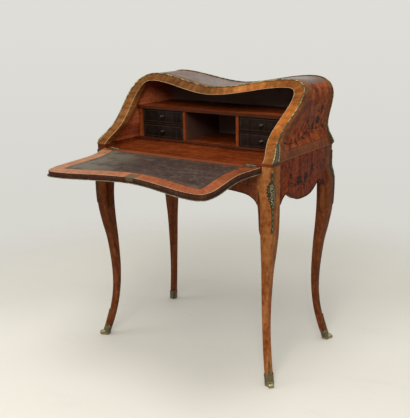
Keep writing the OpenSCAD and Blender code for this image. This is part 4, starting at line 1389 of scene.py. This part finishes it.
APRON_LEAVES = [
    (-82, 630, 20, 8, 170), (-66, 620, 18, 8, -30), (-46, 615, 18, 8, 60), (-10, 614, 20, 9, -36),
    (4, 612, 18, 8, 60), (28, 614, 20, 8, -22), (44, 624, 18, 8, 70), (62, 642, 17, 8, 8),
    (-100, 662, 16, 7, 130), (72, 668, 16, 7, 40), (-30, 650, 15, 7, 80), (-110, 622, 18, 8, 20),
    (100, 640, 16, 7, 120), (-8, 598, 16, 7, 10), (-28, 600, 16, 7, 175),
]


def inlays(side, sx):
    """The sprigs on one side of the desk: one on the side board and one on the apron."""
    sprig("side_sprig_" + side, side_surface(sx), SIDE_STEMS, SIDE_FLOWERS, SIDE_LEAVES)

    def apron(a, b, lift):
        return Vector((sx * (APRON_X + lift), a, b))

    sprig("apron_sprig_" + side, apron, APRON_STEMS, APRON_FLOWERS, APRON_LEAVES)


# Fall
def fall_box(xs, outs, downs):
    """The eight corners of a box on the fall."""
    return [on_fall(x, out, down) for x in sorted(xs) for out in outs for down in downs]


def moulding():
    """The bronze moulding round the fall and its bright bead, and above it a dark riser with a pale line."""
    w0, w1 = PIVOT_DEEP + 0.5, FALL_T + LIP_OVER
    section = [
        (0.15, w0), (4.2, w0), (5.2, w0 + 0.3), (5.9, w0 + 1.0), (5.9, w0 + 1.6), (5.2, w0 + 2.2),
        (4.9, w0 + 2.9), (5.3, w0 + 3.4), (5.2, w1 - 0.25), (4.4, w1), (2.4, w1), (0.15, w1),
    ]
    rings = round_fall([(FALL_IN - out, down) for out, down in section])
    piece("fall_moulding_cast", skin(rings), "fall", "bronze", MOULDING, ["fall_moulding"], sharp=50)
    bead = [(FALL_IN - 5.0 - x, w1 - 0.95 + y) for x, y in circle(0.9, 8)]
    piece("fall_moulding_bead", skin(round_fall(bead)), "fall", "bronze", BRIGHT_LINE, sharp=60)
    riser = [(FALL_IN + e, down) for e, down in ((-0.5, 0.5), (-0.5, w0 - 0.1), (0.5, w0 - 0.1), (0.5, 0.5))]
    made = piece("fall_riser_veneered", skin(round_fall(riser)), "fall", "banding", RISER, sharp=30)
    line = [(FALL_IN + 0.75 + x, -0.05 + 0.4 * y) for x, y in circle(1.0, 8)]
    edging = piece("fall_edge_line", skin(round_fall(line)), "fall", "banding", STRING, sharp=60)
    at_lock = fall_box((-LOCK_HALF, LOCK_HALF), (FALL_FRONT - 5, FALL_FRONT + 5), (-2, w0 - 0.6))
    cut(made, [at_lock])
    cut(edging, [at_lock])


def outer_face():
    """The veneer of the fall's outer face: a thin sheet with a cross-banded border, open at the keyhole."""
    back, edge = JOINT_IN + 2.4, FALL_IN + 0.3
    far_in = 400
    right = [p for p in fall_outline(0, MIDDLE, 5, edge) if p.y > back + 1]
    right = [Vector((right[0].x, back))] + right
    drawing = with_left(right)
    rings, grains, borders = [], [], []
    shares = [1.0, 1.0, 0.97, 0.94, 0.91, 0.88, 0.85, 0.8, 0.7, 0.6, 0.5, 0.4, 0.3, 0.2, 0.1, 0.02]
    for i, share in enumerate(shares):
        down = FALL_T + 0.3 if i else FALL_T - 0.2
        ring = []
        for p in drawing:
            q = FALL_MIDDLE.lerp(p, share)
            ring.append(on_fall(q.x, q.y, down))
            grains.append(Vector((q.x, q.y, down)))
            far = min(away(q, a, b) for a, b in zip(drawing, drawing[1:])) if share < 1 else 0.0
            borders.append(Vector((q.y - back, far, far_in)))
        rings.append(ring)
    shape = skin(rings)
    made = piece("fall_outer_veneered", shape, "fall", "case_veneer", FALL_BACK, grain=grains, border=borders)
    through = (FALL_T - 2, FALL_T + 2)
    hole = fall_box((-5, 5), (KEYHOLE_OUT - 6, KEYHOLE_OUT + 4), through)
    notches = [fall_box((sx * STILE_CUT, sx * HALF_W), (-1, JOINT_IN + 3.5), through) for sx in (-1, 1)]
    cut(made, [hole] + notches)


def away(p, a, b):
    """Distance of a point from the line between two others."""
    ab = b - a
    t = max(0.0, min(1.0, (p - a).dot(ab) / max(ab.length_squared, 1e-9)))
    return (a + ab * t - p).length


def fall_outline(u0, u1, step, e):
    """Points of the stretched outline moved in by e: across the fall and out from its hinge line."""
    made = []
    for u, run in spaced(u0, u1, step, e, STRETCH):
        p = inset(u, e, STRETCH)
        made.append(Vector((p.x, p.y - PIVOT_V)))
    return made


def with_left(right):
    """The right half of a drawing, then its mirror image in the opposite order."""
    return right + [Vector((-p.x, p.y)) for p in reversed(right) if p.x > 0.01]


def round_fall(section):
    """Rings of a section, given by places in from the outline and depths, round the fall's edge."""
    rings = []
    for u, run in spaced(0, ROUND, 4, FALL_IN, STRETCH):
        ring = [fall_point(u, e, down) for e, down in section]
        if max(p.y for p in ring) < CASE_CLEAR:
            rings.append(ring)
    # Both ends stop along the front of the case
    ends = []
    for ring in (rings[0], rings[-1]):
        stop = []
        for p, (e, down) in zip(ring, section):
            out = (PIVOT_Y + down * math.sin(DROOP) - CASE_CLEAR) / math.cos(DROOP)
            stop.append(on_fall(p.x, out, down))
        ends.append(stop)
    return [ends[0]] + rings + [ends[1]]


def border_strip(name, pairs):
    """A strip of cross-banded border between outer and inner points on the fall's inner face."""
    front, back, grains = [], [], []
    shares = [j / 8 for j in range(9)]
    for outer, inner in pairs:
        row = [(outer.lerp(inner, t), 0.25 if t in (0, 1) else 0.0) for t in shares]
        front.append([on_fall(p.x, p.y, -0.3 + ease) for p, ease in row])
        back.append([on_fall(p.x, p.y, 0.5) for p, ease in row])
    outer, inner = pairs[len(pairs) // 2]
    width = (outer - inner).length
    for grid in (0, 1):
        for run in runs_along([outer for outer, inner in pairs]):
            grains += [Vector((width * t, run, 3 * grid)) for t in shares]
    return piece(name, shell(front, back), "fall", "banding", FALL_BORDER, grain=grains)


def border():
    """Side and front strips, mitred at the corners, and strips behind the lock and behind the leather."""
    edge, inner = FALL_IN + 0.4, LEATHER_IN - 0.2
    corner_u, back, count = 2.45, 1.2, 60
    outer_side = [p for p in fall_outline(0, corner_u, 2, edge) if p.y > back]
    inner_side = [p for p in fall_outline(0, 2, 6, inner) if p.y > back]
    outer_front = fall_outline(corner_u, MIDDLE, 2, edge)
    mitre = inner_side[-1]
    inner_front = [mitre] + [p for p in fall_outline(3, MIDDLE, 2, inner) if p.x < mitre.x - 1]
    sides = [(at_share(outer_side, i / count), at_share(inner_side, i / count)) for i in range(count + 1)]
    fronts = [(at_share(outer_front, i / count), at_share(inner_front, i / count)) for i in range(count + 1)]
    half_plate = LOCK_HALF + 0.4
    fronts = [(a, b) for a, b in fronts if b.x > half_plate]
    y = fronts[-1][1].y
    fronts.append((Vector((half_plate, FALL_FRONT - 0.4)), Vector((half_plate, y))))
    leaf_end = LEAF_START + LEAF_W + 0.4
    hinges = [fall_box((sx * (HINGE_X - HINGE_HALF), sx * (HINGE_X + HINGE_HALF)), (-1, leaf_end), (-2, 2))
              for sx in (-1, 1)]
    for side, sx in SIDES.items():
        for part, pairs in (("side", sides), ("front", fronts)):
            flipped = [(Vector((sx * a.x, a.y)), Vector((sx * b.x, b.y))) for a, b in pairs]
            made = border_strip("fall_border_" + part + "_" + side, flipped)
            if part == "side":
                stile = fall_box((sx * STILE_CUT, sx * HALF_W), (-1, JOINT_IN + 1.3), (-2, 2))
                cut(made, [hinges[sx > 0], stile])
    plate_back = FALL_FRONT - LOCK_D - 0.4
    plate = [(Vector((x, plate_back)), Vector((x, y))) for x in (half_plate - 0.3, 0, -half_plate + 0.3)]
    border_strip("fall_border_behind_lock", plate)
    corner = HALF_W - LEATHER_IN - 0.2
    places = [corner * (1 - i / 6) for i in range(13)]
    strip = [(Vector((x, 1.6)), Vector((x, LEAF_BACK - 0.2))) for x in places]
    cut(border_strip("fall_border_back", strip), hinges)


def at_share(points, t):
    """The point at a share t of a broken line's length."""
    runs = runs_along(points)
    want = runs[-1] * t
    for i in range(len(points) - 1):
        if want <= runs[i + 1] or i == len(points) - 2:
            return points[i].lerp(points[i + 1], (want - runs[i]) / max(runs[i + 1] - runs[i], 1e-9))


def leather_edge(e):
    """The leather's outline, e in from the case's, from its right back corner round to the left one."""
    back = LEAF_BACK + (e - LEATHER_IN)
    side = [p for p in fall_outline(0, 2, 6, e) if p.y > back + 1]
    front = [p for p in fall_outline(3, MIDDLE, 6, e) if p.x < side[-1].x + 0.5 and p.y > side[-1].y - 60]
    return with_left([Vector((side[0].x, back))] + side + front)


def leather():
    """The leather: a thin sheet that is a little fuller at its middle, with two tooled lines round it."""
    drawing = leather_edge(LEATHER_IN + 0.3)
    rings = [[on_fall(p.x, p.y, 1.15) for p in drawing]]
    steps = [(1.0, 0.55), (0.994, 0.22), (0.985, 0.1), (0.8, 0.05), (0.5, 0.0), (0.2, 0.0), (0.02, 0.0)]
    for share, down in steps:
        rings.append([on_fall(*FALL_MIDDLE.lerp(p, share), down) for p in drawing])
    piece("leather_writing_surface", skin(rings), "fall", "leather", LEATHER, ["leather_panel"], sharp=60)
    up = on_fall(0, 0, -1) - on_fall(0, 0, 0)
    for number, e, width in ((1, 9, 1.1), (2, 11.6, 0.5)):
        path = [on_fall(p.x, p.y, 0.06) for p in leather_edge(LEATHER_IN + e)]
        line = tube(path + path[:1], width / 2, 6, 0.35, up)
        piece(f"leather_tooled_line_{number}", line, "fall", "leather", TOOLING)


# Nest of drawers
DRAWER_PLACES = ["upper_left", "lower_left", "upper_right", "lower_right"]


def drawer(place):
    """A drawer front with a thin string let in round its face, and its knob."""
    node = "drawer_front_" + place
    body = "drawer_" + place
    lo, hi = low(node), high(node)
    face = lo.y
    outline = [(lo.x, lo.z), (hi.x, lo.z), (hi.x, hi.z), (lo.x, hi.z)]
    board = prism(outline, lambda x, z, y: Vector((x, y, z)), face, hi.y)
    piece(node + "_veneered", board, body, "drawer_veneer", DRAWERS, [node], bevel=0.7)
    parts = []
    string_in, half = 5.5, 0.5
    x0, x1, z0, z1 = lo.x + string_in, hi.x - string_in, lo.z + string_in, hi.z - string_in
    for a, b, c, d in ((x0, x1, z0, z0), (x0, x1, z1, z1), (x0, x0, z0, z1), (x1, x1, z0, z1)):
        ends = [(a - half, c - half), (b + half, c - half), (b + half, d + half), (a - half, d + half)]
        parts.append(prism(ends, lambda x, z, t: Vector((x, face + t, z)), -0.12, 0.4))
    piece(node + "_string", joined(*parts), body, "drawer_veneer", DRAWER_STRING)
    middle = (lo + hi) / 2
    knob(place, body, Vector((middle.x, face, middle.z)))


def knob(place, body, seat):
    """A turned knob: rose, neck and a ball with a fine ring round it."""
    profile = [
        (0.0, -0.5), (4.6, -0.5), (4.8, 0.2), (4.4, 0.9), (3.6, 1.2), (2.6, 1.7), (2.0, 2.6), (1.9, 3.8),
        (2.3, 4.8), (3.5, 5.5), (3.9, 5.9), (3.7, 6.3), (4.6, 6.9), (5.5, 7.9), (6.0, 9.1), (5.8, 10.2),
        (5.0, 11.3), (3.8, 12.0), (2.2, 12.4), (1.2, 12.5), (0.9, 12.25), (0.0, 12.2),
    ]
    rings = []
    for r, out in profile:
        rings.append([seat + Vector((x, -out, z)) for x, z in circle(max(r, 0.02), 28)])
    piece("knob_turned_" + place, skin(rings), body, "brass", KNOBS, ["knob_" + place], sharp=40)


def slotted_screws(name, node, body, surface, places):
    """Countersunk heads with a slot, flush with their surface."""
    parts = []
    for a, b, turn in places:
        c, s = math.cos(turn), math.sin(turn)
        for half in (0, 1):
            ring = []
            for j in range(13):
                angle = lerp(0.14, math.pi - 0.14, j / 12) + math.pi * half
                x, y = 2.7 * math.cos(angle), 2.7 * math.sin(angle)
                ring.append((x * c - y * s, x * s + y * c))
            steps = ((0.6, 1.3), (0.97, 0.1), (1.0, 0.0), (0.9, -0.12))
            parts.append(skin([[surface(a + x * k, b + y * k, w) for x, y in ring] for k, w in steps]))
        in_slot = [[surface(a + x, b + y, w) for x, y in circle(2.5, 24)] for w in (1.2, 0.5)]
        parts.append(skin(in_slot))
    piece(name, joined(*parts), body, "brass", BRASS, [node], sharp=40)


def screws():
    rng = random.Random(4)
    middle = LEAF_START + LEAF_W / 2
    spots = [(sx * HINGE_X + x, middle, rng.uniform(0, 3)) for sx in (-1, 1) for x in (-12, 0, 12)]
    slotted_screws("hinge_screws_case_slotted", "hinge_screws_case", "case",
                   lambda a, b, w: Vector((a, PIVOT_Y + b, BED - w)), spots)
    slotted_screws("hinge_screws_fall_slotted", "hinge_screws_fall", "fall", on_fall, spots)


def keyhole_plate():
    """The keyhole plate on the outer face: a cartouche with two lobes and a domed field round the keyhole."""
    hole_r, hole_down = 2.4, 2
    rings = []
    steps = [(1.0, -0.1), (1.0, 0.5), (0.93, 1.2), (0.84, 1.3), (0.78, 0.9), (0.6, 1.2), (0.34, 1.4)]
    for share, lift in steps:
        ring = []
        for a in turns(72):
            r = 9.0 + 3.6 * abs(math.cos(a)) ** 6 + 0.7 * math.cos(8 * a) if share > 0.4 else 9.0
            across, out = r * share * math.sin(a), r * share * math.cos(a)
            ring.append(on_fall(across, KEYHOLE_OUT + out, FALL_T + lift))
        rings.append(ring)
    for lift in (1.3, -0.6):
        ring = [(x, KEYHOLE_OUT + (y - hole_down)) for y, x in circle(hole_r, 72)]
        rings.append([on_fall(x, out, FALL_T + lift) for x, out in ring])
    piece("keyhole_plate", skin(rings), "fall", "bronze", BRONZE, ["escutcheon"], sharp=50)


for corner in CORNERS:
    leg(corner)
    knee_mount(corner)
    shoe(corner)
front_frieze()
for side in SIDES:
    side_board(side)
for side in SIDES:
    side_apron(side)
top_board()
rim()
rim_fillet()
back_fillet()
corner_mounts("front")
corner_mounts("back")
for side, sx in SIDES.items():
    inlays(side, sx)
node_finish(["fall_board"], RISER, 0.4)
moulding()
outer_face()
border()
leather()
for place in DRAWER_PLACES:
    drawer(place)
screws()
keyhole_plate()
node_finish(["writing_bed"], INNER_X, 0.7)
node_finish(["nest_base", "nest_shelf"], SHELF, 0.7)
node_finish(["nest_ends", "nest_divider_left", "nest_divider_right"], NEST, 0.5)
node_finish(["nest_rails"], DARK, 0.4)
node_finish(["back_board"], BACK, 0.6)
node_finish(["back_frieze"], OAK_UP, 0.6)
node_finish(["bed_bearers"] + ["drawer_box_" + place for place in DRAWER_PLACES], OAK, 0.5)
node_finish(["hinge_case_leaves", "hinge_fall_leaves", "hinge_pins"], BRASS, 0.2)
node_finish(["lock_body", "lock_bolt", "strike_plate"], BRASS, 0.25)


# Camera, at the photograph's viewing angle. The picture is 410 by 418, so its longer side is the height.
PICTURE = 418
FOCUS = 713
SENSOR = 36.0
CAMERA_AT = (1.338, -1.974, 1.134)
YAW, PITCH, ROLL = math.radians(34.88), math.radians(15.36), math.radians(-0.68)


def camera():
    data = bpy.data.cameras.new("camera")
    data.sensor_width = SENSOR
    data.lens = FOCUS / PICTURE * SENSOR
    made = new_object("camera", data)
    made.location = CAMERA_AT
    turn = Matrix.Rotation(YAW, 4, "Z") @ Matrix.Rotation(math.pi / 2 - PITCH, 4, "X")
    made.rotation_euler = (turn @ Matrix.Rotation(ROLL, 4, "Z")).to_euler()
    bpy.context.scene.camera = made


# Floor and backdrop
FLOOR_COLOUR = (0.70, 0.68, 0.61)
WALL_TOP = (0.735, 0.725, 0.690)
WALL_LOW = (0.675, 0.665, 0.620)
FLOOR_R = 5.0


def floor():
    """A round, scuffed and flecked floor, with painted shade towards the back left, that fades into the
    backdrop.
    """
    mesh = bpy.data.meshes.new("floor")
    sides = 96
    mesh.from_pydata([Vector((x, y, 0)) for x, y in circle(FLOOR_R, sides)], [], [tuple(range(sides))])
    new_object("floor", mesh)
    finish, tree, shader, place = blank_finish("floor_paint")
    scuffs = place.noise((2.6, 9.0, 1.0), 5.0, 0.65, 0.8).spread(0.55, 0.8)
    cloud = place.noise((1.4, 1.4, 1.0), 3.0, 0.5)
    specks = place.noise((46.0, 46.0, 1.0), 4.0, 0.7).spread(0.6, 0.7)
    specks = specks * place.noise((5.0, 5.0, 1.0), 3.0).spread(0.5, 0.7)
    colour = FLOOR_COLOUR
    for amount, shade in ((cloud, 0.94), (scuffs * 0.26, 0.8), (specks * 0.3, 0.6)):
        colour = amount.mix(colour, tuple(c * shade for c in FLOOR_COLOUR))
    # Painted shade: the floor is darker towards the back left.
    deep = place.axis(1) * 0.82 - place.axis(0) * 0.57
    colour = colour.scaled(1 - deep.spread(-0.1, 0.5) * 0.14)
    tree.links.new(colour.socket, shader.inputs["Base Color"])
    shader.inputs["Roughness"].default_value = 0.85
    shader.inputs["Specular IOR Level"].default_value = 0.2
    far = place.node("VectorMath", {"operation": "LENGTH"}, {0: place}, "Value")
    tree.links.new(far.spread(0.9, 1.8, (1.0, 0.0)).socket, shader.inputs["Alpha"])
    mesh.materials.append(finish)


def world():
    """Soft light from all round; the camera and reflections see a pale wall over a pale floor."""
    made = bpy.data.worlds.new("room")
    bpy.context.scene.world = made
    made.use_nodes = True
    tree = made.node_tree
    background = tree.nodes["Background"]
    place = Wire(tree, tree.nodes.new("ShaderNodeTexCoord").outputs["Generated"])
    height = place.axis(2)
    paint = height.spread(-0.375, -0.345).mix(FLOOR_COLOUR, WALL_LOW)
    paint = height.spread(-0.33, 0.05).mix(paint, WALL_TOP)
    light = height.spread(-0.1, 0.9, (0.13, 0.92))
    glow = light.mix((0.0, 0.0, 0.0), (1.0, 0.985, 0.96))
    path = tree.nodes.new("ShaderNodeLightPath").outputs
    kinds = ("Camera", "Glossy", "Transmission")
    straight, glossy, through = [Wire(tree, path[f"Is {kind} Ray"]) for kind in kinds]
    seen = straight + glossy + through
    tree.links.new(seen.least(1.0).mix(glow, paint).socket, background.inputs["Color"])
    background.inputs["Strength"].default_value = 1.0


def lamp(name, spot, aim, size, power, colour):
    data = bpy.data.lights.new(name, "AREA")
    data.shape = "RECTANGLE"
    data.size, data.size_y = size
    data.energy = power
    data.color = colour
    made = new_object(name, data)
    made.location = spot
    made.rotation_euler = (Vector(aim) - Vector(spot)).to_track_quat("-Z", "Y").to_euler()


camera()
floor()
world()
lamp("soft_lamp_over", (0.25, -0.75, 3.1), (0.1, -0.1, 0.4), (1.1, 1.1), 26, (1.0, 0.99, 0.97))
lamp("soft_lamp_front", (1.3, -2.7, 2.7), (0, 0, 0.55), (1.5, 1.5), 60, (1.0, 0.985, 0.955))
lamp("soft_lamp_left", (-2.2, -1.9, 2.4), (0, 0, 0.6), (1.4, 1.4), 16, (1.0, 0.985, 0.955))
bpy.context.scene.view_settings.view_transform = "Standard"
